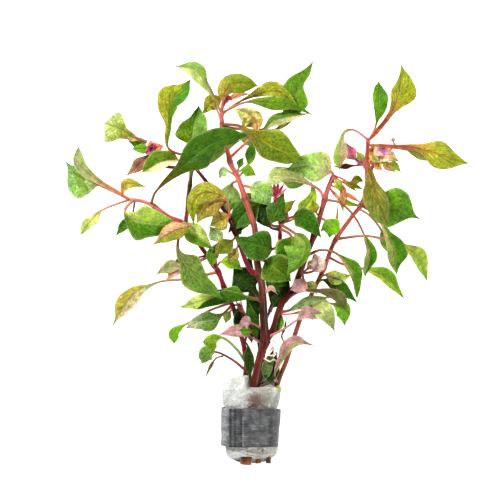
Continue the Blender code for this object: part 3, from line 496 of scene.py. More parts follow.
# Small leaves that grow between the large ones: palette, width seen from above, route
SMALL_LEAVES = {
    "small_leaves_left": (
        ("gold_orange", 5, ((-61, 114, 43), (-64, 117, 45), (-62, 122, 50), (-52, 120.5, 50))),
        ("green", 5, ((-58.5, 112.5, 40), (-59.5, 107, 33), (-63, 102, 30), (-68, 96, 24))),
        ("bright", 6.5, ((-50, 141, 44), (-52, 140.5, 42), (-56, 142, 42), (-61.5, 143.5, 42))),
        ("dull_pink", 6, ((-49.5, 138, 43), (-51, 136.5, 42), (-56, 131.5, 41), (-62.5, 126, 38))),
        ("blush", 4, ((-52, 142.5, 44), (-55.5, 144, 44), (-60, 145.5, 44), (-65, 144.5, 43))),
        ("pale_green/leaf_mid", 9.5, ((-32, 102, 32), (-34, 103, 36), (-27.5, 96.5, 38), (-18.5, 89, 36))),
        ("gold_lime/orange_pink", 9, ((-33, 101.5, 32), (-31, 101, 46), (-40, 97.5, 52), (-49, 91.5, 49))),
        ("pink_green", 6, ((-21.5, 85.5, 25), (-34, 81, 24), (-41, 80.5, 22), (-48, 76.5, 16))),
        ("pale_pink", 4, ((-21.5, 85, 25), (-34, 78.5, 24), (-39, 77.5, 22), (-43, 73, 18))),
        ("deep_green", 4, ((-22, 86, 25), (-30, 84.5, 26), (-35, 84, 25), (-39.5, 82.5, 22))),
        ("pale_mint", 7, ((-15, 88, 38), (-16, 93, 36), (-18, 97, 36), (-21, 101, 35))),
        ("green", 6, ((-17, 79, 26), (-19.5, 81, 30), (-19, 87, 32), (-15.5, 94, 33))),
        ("brown_pink", 3, ((-17, 79, 26), (-17.5, 86, 34), (-16, 90, 36), (-14, 97, 38))),
    ),
    "small_leaves_top": (
        ("gold_lime", 8, ((-14.3, 152, 57), (-17, 159, 54), (-18.5, 163, 50), (-24.5, 156.5, 46))),
        ("leaf_mid", 6.5, ((-14, 157.5, 57), (-2, 162.5, 60), (10, 162, 61), (20, 161, 61), (31, 156, 58))),
        ("leaf_mid/pink_edge_green", 6, ((-13.5, 150, 56), (5.5, 149, 55), (12, 153.5, 56), (29, 157, 54))),
        ("green", 5, ((-3, 126, 54), (-1.5, 131, 55), (0, 138, 55), (1.5, 144.5, 55))),
        ("green", 3.4, ((-6, 127, 56), (-6, 130, 56), (-5, 133, 57), (-3.5, 135, 58))),
        ("lime_green", 6, ((-6.5, 127.5, 56), (-5, 128.5, 56), (-2, 128.5, 56), (2.5, 126, 55))),
        ("pale_mint", 4.5, ((-6, 124.5, 55), (-11, 128, 56), (-13.5, 128, 56), (-16, 124.5, 55))),
        ("magenta", 4, ((-14.5, 158, 58), (-13.8, 161, 60), (-12, 164.5, 61), (-9, 163, 60))),
        ("pale_pink", 3, ((-14.5, 158, 58), (-12, 163, 59), (-6, 166, 60), (0, 166.5, 59))),
    ),
    "small_leaves_centre": (
        ("gold_lime", 10, ((-10.5, 104.5, 47), (-12, 113.5, 52), (-17.5, 117, 55), (-24.5, 117, 57),
                           (-29, 111.5, 56), (-28.5, 101.5, 50))),
        ("brown_olive", 13, ((-15, 111, 47), (-13, 113, 50), (-18.5, 112.5, 53), (-23, 109, 52),
                             (-27, 102.5, 50))),
        ("orange_olive", 10, ((-10.5, 104, 47), (-11, 106, 50), (-15, 104, 49), (-20.5, 101, 47))),
        ("pale_green_edge", 11, ((-7, 124, 50), (-9.5, 122, 45), (-11, 115, 41), (-13, 105, 36))),
        ("pale_green_edge", 12, ((-4.5, 121, 53), (-1, 120.5, 50), (4.5, 118, 49), (10, 110.5, 45))),
        ("deep_green", 13, ((-2.7, 113, 48), (4, 113.5, 42), (-3.5, 107, 41.5), (-11.5, 97.5, 44))),
        ("deep_green", 10, ((10, 99, 42), (10, 102, 44), (13, 109, 46), (16.5, 118, 46))),
        ("dark", 11, ((9, 98, 41), (9.5, 100.5, 42), (7, 107, 42), (4, 114.5, 40))),
        ("olive_lime", 4.5, ((15, 102, 42), (16.5, 107, 45), (18.5, 111, 46), (22.5, 114, 46))),
        ("olive_pink", 5, ((14.5, 100, 40), (15.5, 102.5, 42), (17, 106, 43), (18.5, 109, 44))),
        ("lime", 7, ((15, 102, 43), (22, 105, 46), (28.5, 112, 49), (31, 117, 50), (30, 123, 50))),
        ("bright_lime", 7, ((-16, 80, 27), (-15, 83, 31), (-10, 83, 32), (-4, 79, 31))),
        ("dark", 16, ((2.5, 62, 27), (1, 68, 28), (-4, 75, 28), (-9, 81, 26))),
        ("dark", 7, ((3, 50, 20), (2.5, 54, 24), (1.5, 64, 26), (0.5, 76, 27))),
        ("deep_green", 6, ((3.5, 42, 19), (3, 44, 22), (0.5, 54, 25), (-2.5, 66, 27))),
        ("bright_brown_spot", 15, ((4.5, 84, 40), (7, 83.5, 46), (13, 79, 50), (20, 73.5, 47))),
        ("green", 14, ((15.5, 98, 42), (20, 96, 46), (19, 88, 50), (14, 78, 48))),
        ("deep_green", 10, ((15, 102.5, 43), (21, 105.5, 52), (28, 103.5, 62), (35, 95, 60))),
        ("bright", 10, ((34, 105, 54), (36.5, 104, 54), (39.5, 100, 52), (39, 95, 50))),
        ("olive_lime", 5, ((34, 104.5, 54), (32.5, 107.5, 57), (31.5, 110, 58), (30.5, 114, 58))),
        ("olive_green", 8, ((-7, 96, 43), (-9, 94, 45), (-13.5, 90, 44), (-17.5, 87, 42))),
        ("brown_olive", 6, ((-6, 93, 43), (-7, 90, 44), (-9.5, 86, 44), (-12, 83.5, 42))),
        ("dark", 5, ((-6, 93, 43), (-7.5, 96, 43), (-6.5, 99, 43), (-4, 101, 42))),
        ("pale_green", 5, ((-2, 95, 40), (-8, 99.5, 41), (-5, 101, 42), (-1, 101, 42))),
    ),
    "small_leaves_right": (
        ("peach", 2.2, ((39.5, 121, 59), (45, 118.5, 58), (49, 116, 57), (55.5, 112, 55))),
        ("olive_lime", 3, ((40.5, 125, 60), (46, 122.5, 60), (51, 121, 60), (56, 119, 58))),
        ("lime", 4, ((41, 126, 60), (42, 124, 62), (43.5, 121, 62), (44.5, 117.5, 61))),
        ("peach", 2, ((41, 126, 60), (44, 123, 60), (47, 117, 58), (48, 113, 57))),
        ("orange_pink", 2.6, ((41, 126, 60), (45, 124.5, 61), (48, 122, 60), (53, 117.5, 58))),
        ("orange_pink", 2.2, ((38.5, 120, 58), (42, 117, 59), (45, 112, 58), (46, 107, 56))),
        ("brown", 2.6, ((57, 132, 54), (51, 131, 53), (46, 130.5, 54), (41, 130.5, 54))),
        ("magenta_pale", 6, ((57, 131, 52), (52, 134, 55), (49, 138.5, 58), (47, 142.5, 60))),
        ("rose", 5, ((57, 128, 52), (55.5, 131.5, 53), (54, 134, 54), (51.5, 134, 54))),
        ("pale_green", 4, ((57.5, 131, 54), (55.5, 133.5, 55), (54, 136, 56), (52.5, 138, 56))),
        ("peach", 4, ((58.5, 130, 53), (61, 133, 53), (63, 131, 52), (65.5, 128.5, 50))),
        ("blush", 7, ((59, 132, 54), (62, 135, 53), (67, 136.5, 51), (74, 133, 48))),
        ("blush", 6, ((59, 132, 54), (61, 136, 56), (65, 139, 55), (70, 138.5, 53))),
        ("orange_pink", 4, ((60, 133, 53), (65, 133, 52), (69, 130, 50), (72.5, 127.5, 47))),
        ("lime", 4, ((60, 133, 53), (68, 132, 52), (71.5, 131, 50), (75, 127.5, 47))),
        ("magenta_pale", 3, ((71, 141, 60), (69, 138.5, 58), (66.5, 138, 57), (62.5, 139.5, 56))),
        ("dusty", 2.2, ((71.5, 141, 60), (70.8, 142.5, 61), (70.5, 143.5, 61), (70, 145, 61))),
        ("pale_orange", 4, ((58, 142, 58), (59, 138, 57), (61.5, 134.5, 56), (65, 132.5, 54))),
        ("olive_lime", 3, ((38.5, 121, 58), (41, 117, 59), (46.5, 113, 58), (56, 110.5, 55))),
        ("olive_pink", 1.4, ((42.5, 94, 37), (42, 100, 42), (43, 106, 48), (43, 112, 52))),
        ("peach", 3, ((44, 122, 58), (44.5, 119, 60), (45.5, 115, 60), (46, 111, 58))),
        ("olive_lime", 4, ((48, 121, 58), (50, 123, 59), (53, 124, 59), (56, 123, 58))),
    ),
    "small_leaves_low": (
        ("pale_lime", 7, ((29, 75, 30), (37, 76.5, 34), (43, 75, 36), (50.5, 76.5, 34))),
        ("deep_green", 7, ((30, 73, 28), (36, 74, 33), (44, 70.5, 34), (53.5, 62.5, 30))),
        ("bright", 8, ((33, 62, 36), (41, 62, 37), (46, 59, 36), (47, 51, 32))),
        ("green_stripe", 4.5, ((16.5, 57, 31), (19, 59, 35), (30, 64, 40), (41, 65.5, 39))),
        ("olive_stripe", 9, ((15, 57, 30), (27, 60.5, 37), (33, 61, 39), (38, 57, 38), (42, 48, 30))),
        ("ring", 9, ((26.5, 76, 41), (31, 78.5, 50), (33, 82, 52), (31.5, 87.5, 51))),
        ("ring", 5, ((25, 75.5, 41), (28, 79.5, 45), (31.5, 83, 46), (31, 86.5, 45))),
        ("dusty", 8, ((26, 77, 42), (26, 75, 46), (24, 71, 46), (19.5, 69, 46))),
        ("pale_green", 6, ((26, 77, 42), (27, 73, 44), (30, 70.5, 43), (33, 67, 41))),
        ("dusty", 6, ((6, 41.5, 25), (-0.5, 45.5, 26), (-6, 48.5, 27), (-16, 46.5, 24))),
        ("dusty", 6, ((3, 50, 24), (0, 52.5, 30), (-2, 53, 31), (-6, 51.5, 29))),
        ("green", 5, ((2.5, 48, 22), (0, 48.5, 28), (-2.5, 48.5, 29), (-6, 49, 27))),
        ("pale_green", 4.5, ((-9.5, 60, 22), (-10.5, 58, 22), (-12, 55.5, 21), (-13, 52, 20))),
        ("dark", 4, ((-5, 64, 20), (-6, 61, 22), (-6.5, 57, 22), (-7, 52, 22))),
        ("green", 7, ((5, 64, 33), (-3, 66, 34), (-8, 67, 34), (-17, 69, 32))),
        ("pale_green", 7, ((-13, 68, 23), (-18, 66, 24), (-24, 63.5, 23), (-36.5, 60, 18))),
        ("dark", 8, ((7, 20, 15), (8.5, 22, 18), (10.5, 29, 20), (13, 37, 18))),
        ("dark_pale", 5.5, ((6, 20, 15), (6.5, 24, 18), (8.5, 31, 21), (11.5, 39.5, 20))),
        ("dark", 5, ((-2, 43, 18), (-1.7, 41, 20), (-1, 33, 20), (-0.5, 22.5, 18))),
        ("dark", 11, ((8, 54, 26), (10.5, 60, 29), (14.5, 67, 31), (19, 77, 31))),
        ("deep_green", 9, ((6, 66, 30), (8.5, 69, 33), (13, 73, 34), (18, 71, 33))),
        ("pale_pink", 2.4, ((6, 62, 31), (7, 67, 35), (10, 70, 36), (13.5, 66.5, 35))),
        ("green", 5, ((11, 44, 24), (12, 48, 26), (14, 53, 28), (15, 59, 28))),
        ("dark", 8, ((3, 58, 24), (1, 56, 24), (-0.5, 50, 23), (0.5, 42, 21))),
        ("dark", 8, ((0, 41, 20), (-2.5, 46, 22), (-5, 53, 24), (-6, 63, 26))),
        ("root", 0.9, ((8, 40, 22), (9.5, 38.5, 27), (11, 40, 28), (12.5, 39.5, 27))),
        ("root", 0.9, ((8, 37, 22), (10.5, 36, 27), (12.5, 37.5, 28), (14, 36, 26))),
        ("root", 0.9, ((8, 35, 21), (9.5, 33, 26), (11.5, 34, 27), (13.5, 32, 25))),
        ("root", 0.9, ((8, 39, 22), (9, 42, 27), (11, 43.5, 28), (13, 42, 27))),
        ("pale_green", 2.4, ((12, 18.5, 14), (13, 20, 17), (14.2, 19.5, 18), (14.8, 17.5, 17.5))),
        ("olive_stub", 1.2, ((15, 40, 20), (15.5, 45, 22), (17, 50, 25), (18, 56, 27))),
        ("peach", 1.4, ((15, 55.5, 30), (20, 57, 33), (25, 58, 35), (29, 59, 36))),
        ("brown_pink", 1.4, ((-2, 52, 22), (-4, 56, 26), (-6, 60, 28), (-8, 65, 28))),
        ("rose", 1.2, ((0, 49, 22), (-2.5, 55, 26), (-4.5, 60, 28), (-5.5, 66, 28))),
        ("olive_stub", 1.6, ((-14, 35.5, 14), (-17.5, 34.5, 13), (-20.5, 30, 9), (-23.5, 23.5, 5))),
    ),
}

# Large leaves under which a second, smaller leaf of the same pair grows towards the back
BACKED_LEAVES = (
    "leaf_left_2", "leaf_left_4", "leaf_upper_left_2", "leaf_top_2", "leaf_top_4",
    "leaf_front_top", "leaf_upper_right_2", "leaf_right_2", "leaf_front_right",
    "leaf_right_5", "leaf_lower_right_3", "leaf_front_centre_left", "leaf_front_centre",
    "leaf_front_centre_right", "leaf_centre_low", "leaf_lower_left_3", "leaf_lower_right_1",
)

# Palettes, as the eye sees them (0 to 255): blade at the base, middle and tip, veins, other side, midrib
PALETTES = {
    "green": ((112, 140, 18), (74, 134, 12), (66, 126, 10), (136, 176, 54), (160, 186, 90), (140, 86, 60)),
    "deep_green": ((84, 106, 8), (50, 100, 6), (56, 110, 8), (100, 148, 44), (140, 172, 80), (110, 66, 40)),
    "bright": (
        (150, 186, 30), (108, 172, 16), (98, 166, 14), (180, 212, 90), (182, 206, 104), (166, 98, 74)),
    "bright_lime": (
        (170, 200, 40), (150, 200, 24), (130, 190, 20), (200, 220, 110), (196, 212, 110), (196, 130, 80)),
    "soft_green": (
        (124, 158, 50), (112, 158, 48), (100, 148, 44), (170, 198, 110), (176, 198, 118), (124, 56, 48)),
    "lime": (
        (200, 190, 90), (156, 188, 44), (136, 180, 28), (208, 216, 110), (206, 214, 130), (176, 110, 80)),
    "lime_green": (
        (150, 176, 40), (124, 170, 20), (116, 164, 16), (180, 206, 90), (180, 200, 104), (120, 150, 70)),
    "lime_fan": (
        (150, 124, 40), (176, 188, 84), (222, 232, 172), (120, 140, 30), (214, 224, 160), (140, 92, 60)),
    "pale_lime": (
        (216, 186, 120), (206, 224, 136), (172, 200, 70), (190, 190, 100), (214, 224, 150), (196, 130, 96)),
    "pale_green": (
        (150, 150, 40), (184, 204, 110), (150, 186, 70), (208, 214, 140), (196, 208, 130), (160, 130, 60)),
    "pale_green_edge": (
        (196, 208, 136), (128, 184, 60), (60, 130, 20), (226, 236, 196), (190, 208, 130), (196, 130, 96)),
    "pale_pink_rib": (
        (216, 196, 140), (190, 218, 120), (206, 238, 190), (230, 170, 160), (206, 222, 160), (220, 120, 112)),
    "olive_green": (
        (120, 104, 20), (112, 130, 10), (96, 124, 10), (160, 160, 60), (160, 170, 90), (150, 80, 50)),
    "olive_lime": (
        (196, 90, 84), (146, 154, 22), (126, 150, 16), (190, 180, 66), (180, 186, 90), (176, 72, 64)),
    "olive_red_veins": (
        (164, 94, 48), (142, 150, 50), (124, 164, 64), (156, 104, 50), (176, 180, 110), (150, 50, 30)),
    "olive_pink": (
        (206, 206, 140), (172, 150, 96), (190, 130, 120), (216, 170, 150), (200, 176, 140), (196, 170, 130)),
    "olive_stripe": (
        (176, 190, 110), (190, 206, 130), (126, 148, 44), (226, 230, 176), (190, 196, 120), (190, 110, 80)),
    "green_stripe": (
        (100, 124, 50), (130, 160, 90), (110, 144, 60), (214, 224, 176), (170, 190, 120), (140, 84, 70)),
    "gold_lime": (
        (196, 170, 86), (176, 186, 56), (140, 172, 26), (160, 104, 44), (206, 206, 110), (180, 100, 66)),
    "gold_orange": (
        (222, 150, 90), (172, 178, 60), (120, 160, 20), (206, 150, 80), (212, 206, 120), (190, 100, 80)),
    "orange_olive": (
        (206, 160, 96), (176, 176, 74), (150, 166, 50), (160, 80, 44), (196, 180, 110), (180, 80, 56)),
    "brown_olive": (
        (206, 160, 96), (176, 160, 70), (144, 160, 44), (140, 70, 36), (180, 180, 100), (140, 56, 40)),
    "pale_orange": (
        (232, 160, 80), (224, 228, 136), (208, 236, 180), (214, 150, 84), (228, 230, 160), (206, 100, 60)),
    "bright_brown_rib": (
        (120, 84, 60), (92, 124, 40), (84, 142, 16), (160, 170, 90), (176, 196, 110), (124, 62, 56)),
    "deep_brown_rib": (
        (134, 84, 18), (56, 102, 4), (68, 120, 8), (92, 130, 34), (150, 184, 84), (124, 72, 26)),
    "bright_brown_spot": (
        (76, 130, 14), (92, 112, 18), (66, 124, 10), (130, 170, 50), (160, 190, 90), (120, 70, 20)),
    "green_pink_base": (
        (220, 176, 136), (156, 202, 72), (116, 180, 36), (228, 240, 196), (190, 206, 130), (190, 112, 100)),
    "brown_green": (
        (222, 130, 116), (176, 184, 134), (140, 168, 108), (216, 206, 160), (196, 206, 150), (206, 110, 94)),
    "mauve": (
        (172, 152, 104), (196, 152, 160), (176, 120, 134), (224, 190, 196), (206, 164, 164), (190, 128, 126)),
    "pink_tip_green": (
        (50, 106, 8), (92, 140, 40), (240, 222, 214), (186, 200, 130), (180, 190, 120), (150, 84, 76)),
    "pink_edge_green": (
        (130, 150, 60), (190, 200, 140), (236, 226, 200), (226, 210, 180), (206, 206, 150), (200, 140, 114)),
    "purple_rib": (
        (134, 50, 82), (108, 106, 54), (84, 130, 26), (160, 120, 110), (180, 180, 120), (120, 44, 72)),
    "mottled": (
        (150, 184, 64), (200, 200, 90), (160, 182, 60), (206, 150, 96), (222, 190, 150), (160, 104, 64)),
    "pale_blush": (
        (160, 184, 90), (226, 222, 196), (240, 224, 222), (222, 190, 170), (226, 206, 180), (160, 110, 74)),
    "pale_pink": (
        (214, 150, 130), (232, 190, 180), (206, 190, 140), (232, 170, 170), (232, 200, 190), (206, 120, 120)),
    "magenta": (
        (176, 20, 70), (186, 30, 100), (200, 70, 110), (226, 130, 170), (206, 80, 130), (150, 20, 60)),
    "magenta_pale": (
        (236, 200, 226), (226, 110, 200), (206, 80, 176), (240, 190, 226), (230, 170, 210), (206, 100, 156)),
    "crimson": (
        (186, 10, 56), (210, 20, 70), (226, 90, 110), (236, 130, 150), (206, 60, 100), (170, 10, 50)),
    "rose": (
        (222, 120, 130), (220, 120, 150), (206, 130, 140), (236, 170, 190), (226, 150, 170), (196, 70, 100)),
    "blush": (
        (248, 214, 206), (246, 226, 218), (216, 212, 150), (244, 184, 170), (248, 226, 218), (224, 130, 110)),
    "peach": (
        (232, 110, 60), (236, 160, 100), (206, 184, 90), (244, 190, 160), (240, 196, 160), (214, 90, 60)),
    "brown": ((120, 70, 50), (130, 86, 40), (110, 84, 30), (170, 110, 80), (160, 120, 80), (140, 56, 44)),
    "brown_pink": (
        (150, 110, 60), (160, 96, 70), (180, 110, 106), (206, 130, 120), (200, 130, 110), (140, 66, 60)),
    # Partly painted shade: these near-black greens are dark leaves deep in the bunch and also stand for the
    # shade in its gaps
    "dark": ((34, 52, 6), (28, 58, 4), (36, 72, 6), (60, 90, 26), (100, 124, 50), (70, 36, 24)),
    "dark_pale": ((40, 60, 10), (92, 118, 56), (56, 88, 20), (150, 170, 100), (150, 170, 90), (90, 60, 40)),
    "cream": (
        (240, 220, 196), (236, 240, 206), (190, 204, 120), (244, 236, 210), (226, 230, 180), (206, 120, 100)),
    "olive_leaf": (
        (150, 160, 60), (100, 140, 20), (92, 132, 16), (150, 170, 60), (170, 186, 100), (190, 110, 90)),
    "olive_gold": (
        (206, 150, 96), (130, 164, 24), (104, 150, 12), (186, 130, 60), (186, 196, 100), (186, 96, 80)),
    "mottled_lime": (
        (196, 92, 84), (170, 186, 50), (130, 166, 24), (190, 130, 70), (206, 206, 120), (186, 84, 76)),
    "front_top": (
        (146, 98, 24), (86, 114, 2), (92, 136, 12), (180, 174, 56), (160, 180, 80), (132, 74, 26)),
    "leaf_mid": (
        (124, 144, 26), (96, 140, 10), (86, 144, 18), (150, 180, 64), (160, 190, 90), (150, 90, 60)),
    "dusty": (
        (186, 140, 130), (206, 156, 164), (196, 136, 146), (226, 186, 192), (210, 170, 170), (164, 92, 96)),
    "dull_pink": (
        (206, 150, 136), (180, 122, 112), (160, 150, 92), (130, 84, 60), (190, 150, 136), (160, 84, 86)),
    "pale_mint": (
        (206, 226, 190), (190, 220, 166), (150, 200, 120), (226, 240, 214), (206, 224, 180), (170, 120, 90)),
    "rose_orange": (
        (232, 112, 98), (232, 142, 120), (222, 144, 106), (246, 190, 176), (240, 170, 156), (206, 80, 76)),
    "olive_stub": (
        (130, 100, 40), (120, 106, 40), (96, 110, 30), (150, 130, 60), (140, 130, 70), (130, 80, 40)),
    "left_4_top": (
        (206, 212, 120), (158, 190, 56), (104, 172, 20), (206, 222, 130), (190, 206, 110), (196, 130, 92)),
    "orange_pink": (
        (230, 206, 150), (232, 190, 146), (216, 196, 124), (206, 116, 90), (220, 180, 140), (176, 90, 74)),
    "fresh_green": (
        (130, 160, 40), (92, 150, 20), (80, 146, 16), (150, 190, 70), (160, 190, 90), (150, 80, 60)),
    "pink_olive": (
        (224, 170, 144), (150, 176, 80), (110, 162, 40), (206, 166, 126), (176, 190, 110), (180, 90, 76)),
    "pink_green": (
        (232, 200, 190), (160, 180, 96), (180, 180, 120), (230, 204, 192), (206, 200, 160), (190, 120, 104)),
    "cream_green": (
        (150, 150, 70), (178, 204, 110), (206, 218, 160), (220, 226, 170), (196, 208, 130), (160, 120, 70)),
    "ring": (
        (222, 160, 176), (250, 240, 240), (232, 190, 206), (190, 110, 146), (240, 214, 220), (180, 96, 120)),
    "sheen_green": (
        (150, 156, 70), (122, 172, 44), (76, 140, 16), (190, 210, 120), (160, 190, 90), (140, 80, 56)),
    "sage_pink": (
        (170, 186, 124), (146, 154, 96), (196, 136, 132), (214, 196, 160), (172, 178, 124), (186, 140, 110)),
    "lime_front": (
        (146, 100, 24), (114, 136, 8), (100, 148, 14), (190, 184, 56), (160, 180, 80), (132, 74, 26)),
    "root": (
        (250, 226, 220), (250, 232, 226), (240, 214, 206), (250, 226, 220), (250, 226, 220), (246, 212, 206)),
    "beige": (
        (206, 150, 150), (196, 184, 156), (180, 140, 90), (216, 190, 170), (206, 186, 150), (196, 110, 120)),
}

# Colours of the bark
BARKS = {
    "brown": (58, 24, 10),
    "red": (100, 36, 28),
    "crimson": (136, 26, 44),
    "rose": (168, 54, 62),
    "salmon": (192, 96, 84),
    "rust": (128, 64, 42),
    "mauve": (118, 62, 48),
    "pale": (228, 146, 134),
    "olive": (90, 72, 24),
    # Partly painted shade: the inner green stem darkened as it lies in the shade of the bunch
    "dark": (36, 40, 10),
    "cut": (154, 92, 54),
}


# Small helpers

def pressed(point):
    """Gives a route point where it lies: above the tie's axis its height is pressed down."""
    x, y, z = point
    if z > TIE_HEIGHT:
        z = TIE_HEIGHT + (z - TIE_HEIGHT) * PRESSED
    return Vector((x, y, z))


def above_floor(point):
    """Keeps a point just clear of the floor."""
    point.z = max(point.z, FLOOR_CLEARANCE)
    return point


def linear(colour):
    """An sRGB colour of 0 to 255 as linear values."""
    shares = np.array(colour) / 255
    return np.where(shares <= 0.04045, shares / 12.92, ((shares + 0.055) / 1.055) ** 2.4)


def share_of(low, high, value):
    """How far a value has come from low to high, from 0 to 1."""
    return min(max((value - low) / (high - low), 0), 1)


def smooth_step(low, high, value):
    """How far a value has come from low to high, with a soft start and end."""
    t = share_of(low, high, value)
    return t * t * (3 - 2 * t)


def bell(value, middle, spread):
    """One at the middle, fading to nothing about twice the spread away."""
    return math.exp(-((value - middle) / spread) ** 2)


def patchy(spot, strength, detail):
    """A value that wanders smoothly from place to place, about zero."""
    return strength * noise.noise(spot * detail)


def smooth_path(points, samples):
    """Runs a smooth curve through the points and returns it with that many steps per stretch."""
    chords = [(b - a).length for a, b in zip(points, points[1:])]
    slopes = [(points[1] - points[0]) / chords[0]]
    for i in range(1, len(points) - 1):
        slopes.append((points[i + 1] - points[i - 1]) / (chords[i - 1] + chords[i]))
    slopes.append((points[-1] - points[-2]) / chords[-1])
    path = []
    for i, chord in enumerate(chords):
        for k in range(samples):
            t = k / samples
            start = (2 * t ** 3 - 3 * t ** 2 + 1) * points[i] + (t ** 3 - 2 * t ** 2 + t) * chord * slopes[i]
            end = (3 * t ** 2 - 2 * t ** 3) * points[i + 1] + (t ** 3 - t ** 2) * chord * slopes[i + 1]
            path.append(start + end)
    path.append(points[-1].copy())
    return path


def arc_lengths(path):
    """The distance travelled at each point of a path."""
    lengths = [0.0]
    for a, b in zip(path, path[1:]):
        lengths.append(lengths[-1] + (b - a).length)
    return lengths


# Paths and meshes

class Route:
    """A smooth path that gives its point and direction at any distance along it."""

    def __init__(self, points, samples=ROUTE_SAMPLES):
        self.path = np.array([tuple(p) for p in smooth_path(points, samples)])
        self.lengths = np.array(arc_lengths([Vector(p) for p in self.path]))
        self.total = self.lengths[-1]
        self.steps = np.gradient(self.path, self.lengths, axis=0)

    def at(self, distance):
        place, way = (
            Vector([np.interp(distance, self.lengths, table[:, k]) for k in range(3)])
            for table in (self.path, self.steps))
        return place, way.normalized()


class Surface:
    """Collects the cells and faces of one piece. A cell is a point, its UV, its tint and its vein colour."""

    def __init__(self):
        self.cells = []
        self.faces = []
        self.slots = []

    def face(self, indices, slot):
        self.faces.append(tuple(indices))
        self.slots.append(slot)

    def grid(self, rows, slot, flip=False, close=False):
        """Adds rows of cells, all of one length, and returns the index of the first."""
        first = len(self.cells)
        count = len(rows[0])
        for row in rows:
            self.cells += row
        for i in range(len(rows) - 1):
            for j in range(count if close else count - 1):
                a = first + i * count + j
                b = first + i * count + (j + 1) % count
                c = b + count
                d = a + count
                self.face((a, d, c, b) if flip else (a, b, c, d), slot)
        return first

    def tube(self, rings, slot):
        """Adds rings of cells as a tube with both ends closed."""
        sides = len(rings[0])
        first = self.grid(rings, slot, flip=True, close=True)
        last = first + (len(rings) - 1) * sides
        self.face([first + k for k in range(sides)], slot)
        self.face([last + k for k in range(sides - 1, -1, -1)], slot)

    def sheet(self, upper, lower, upper_slot, lower_slot):
        """Adds two grids as the faces of a thin sheet and closes the rim between them."""
        a = self.grid(upper, upper_slot)
        b = self.grid(lower, lower_slot, flip=True)
        last, count = len(upper) - 1, len(upper[0])
        ring = [a + j for j in range(count)]
        ring += [a + i * count + count - 1 for i in range(1, last + 1)]
        ring += [a + last * count + j for j in range(count - 2, -1, -1)]
        ring += [a + i * count for i in range(last - 1, 0, -1)]
        for k, p in enumerate(ring):
            q = ring[(k + 1) % len(ring)]
            self.face((p, p - a + b, q - a + b, q), lower_slot)

    def finish(self, name, materials):
        """Makes the piece, with the UV map "leaf" and the colours "tint" and "vein"."""
        points, uvs, tints, veins = zip(*self.cells)
        mesh = bpy.data.meshes.new(name)
        mesh.from_pydata([(x * MM, y * MM, z * MM) for x, y, z in points], [], self.faces)
        for material in materials:
            mesh.materials.append(material)
        mesh.polygons.foreach_set("material_index", self.slots)
        mesh.polygons.foreach_set("use_smooth", [True] * len(self.faces))
        loops = np.zeros(len(mesh.loops), np.int32)
        mesh.loops.foreach_get("vertex_index", loops)
        layer = mesh.uv_layers.new(name="leaf")
        layer.data.foreach_set("uv", np.array(uvs, np.float32)[loops].ravel())
        for label, values in (("tint", tints), ("vein", veins)):
            attribute = mesh.color_attributes.new(label, "FLOAT_COLOR", "POINT")
            colours = np.ones((len(values), 4), np.float32)
            colours[:, :3] = np.array(values, np.float32)
            attribute.data.foreach_set("color", colours.ravel())
        mesh.update()
        obj = bpy.data.objects.new(name, mesh)
        bpy.context.scene.collection.objects.link(obj)
        return obj


def settle(obj, slot_name, *nodes):
    """Puts a finished piece on the object's only body, and hides the imported parts that it stands in for."""
    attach(obj, "root")
    if nodes:
        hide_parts(*nodes)
    return obj


def add_tube(surface, path, radii, tints, sides, slot=0, ribs=0.0):
    """A tube along a list of points with a radius and a tint at each, with closed ends."""
    rings = []
    travelled = 0.0
    side = (path[1] - path[0]).normalized().orthogonal().normalized()
    for i, point in enumerate(path):
        before = path[max(i - 1, 0)]
        after = path[min(i + 1, len(path) - 1)]
        way = (after - before).normalized()
        side = (side - way * side.dot(way)).normalized()
        third = side.cross(way)
        travelled += (point - before).length
        tint = tuple(tints[i])
        ring = []
        for k in range(sides):
            angle = 2 * math.pi * k / sides
            radius = radii[i] * (1 + ribs * math.cos(4 * angle))
            spot = point + side * radius * math.cos(angle) + third * radius * math.sin(angle)
            ring.append((above_floor(spot), (k / sides, travelled / 10), tint, tint))
        rings.append(ring)
    surface.tube(rings, slot)


# Blades

def leaf_frame(direction):
    """Side and face directions of a leaf about its midrib; it faces up."""
    side = direction.cross(Vector((0, 0, 1))).normalized()
    return side, side.cross(direction)


def default_widths(width):
    """Half widths of a plain blade at each sixth: widest at two fifths, drawn out at the tip."""
    shares = [k / 6 for k in range(1, 6)]
    return [width / 2 * math.sin(math.pi * s ** WIDEST_POWER) ** BLADE_ROUNDNESS for s in shares]


def lens_widths(width, rng):
    """Half widths of a small leaf at each sixth, drawn out at both ends, a little different each time."""
    return [width / 2 * share * rng.uniform(*LENS_STRAY) for share in LENS]


def width_at(sixths, share):
    """Half width at a share of the blade, on a smooth curve through the values at each sixth."""
    values = [BASE_HALF_WIDTH, BASE_HALF_WIDTH, *sixths, TIP_HALF_WIDTH, TIP_HALF_WIDTH]
    i = min(int(share * 6), 5)
    f = share * 6 - i
    a, b, c, d = values[i:i + 4]
    smooth = b + 0.5 * f * (c - a + f * (2 * a - 5 * b + 4 * c - d + f * (3 * (b - c) + d - a)))
    return max(smooth, TIP_HALF_WIDTH)


def blade_colour(palette, share):
    """Blade colour between the base, middle and tip of a palette."""
    base, middle, tip = palette[:3]
    if share < MIDDLE_SHARE:
        return base + (middle - base) * (share / MIDDLE_SHARE) ** 0.8
    return middle + (tip - middle) * ((share - MIDDLE_SHARE) / (1 - MIDDLE_SHARE))


def vein_phase(share, across):
    """Counts the side veins passed from the base, along a line that runs forward to the edge."""
    return VEIN_PAIRS * (share - VEIN_SLANT * across - VEIN_BEND * across ** 2) + 0.5


def palettes_of(leaf):
    """The palettes of the left and the right half, as linear colours."""
    names = leaf["palette"].split("/")
    return [[linear(c) for c in PALETTES[name]] for name in (names[0], names[-1])]


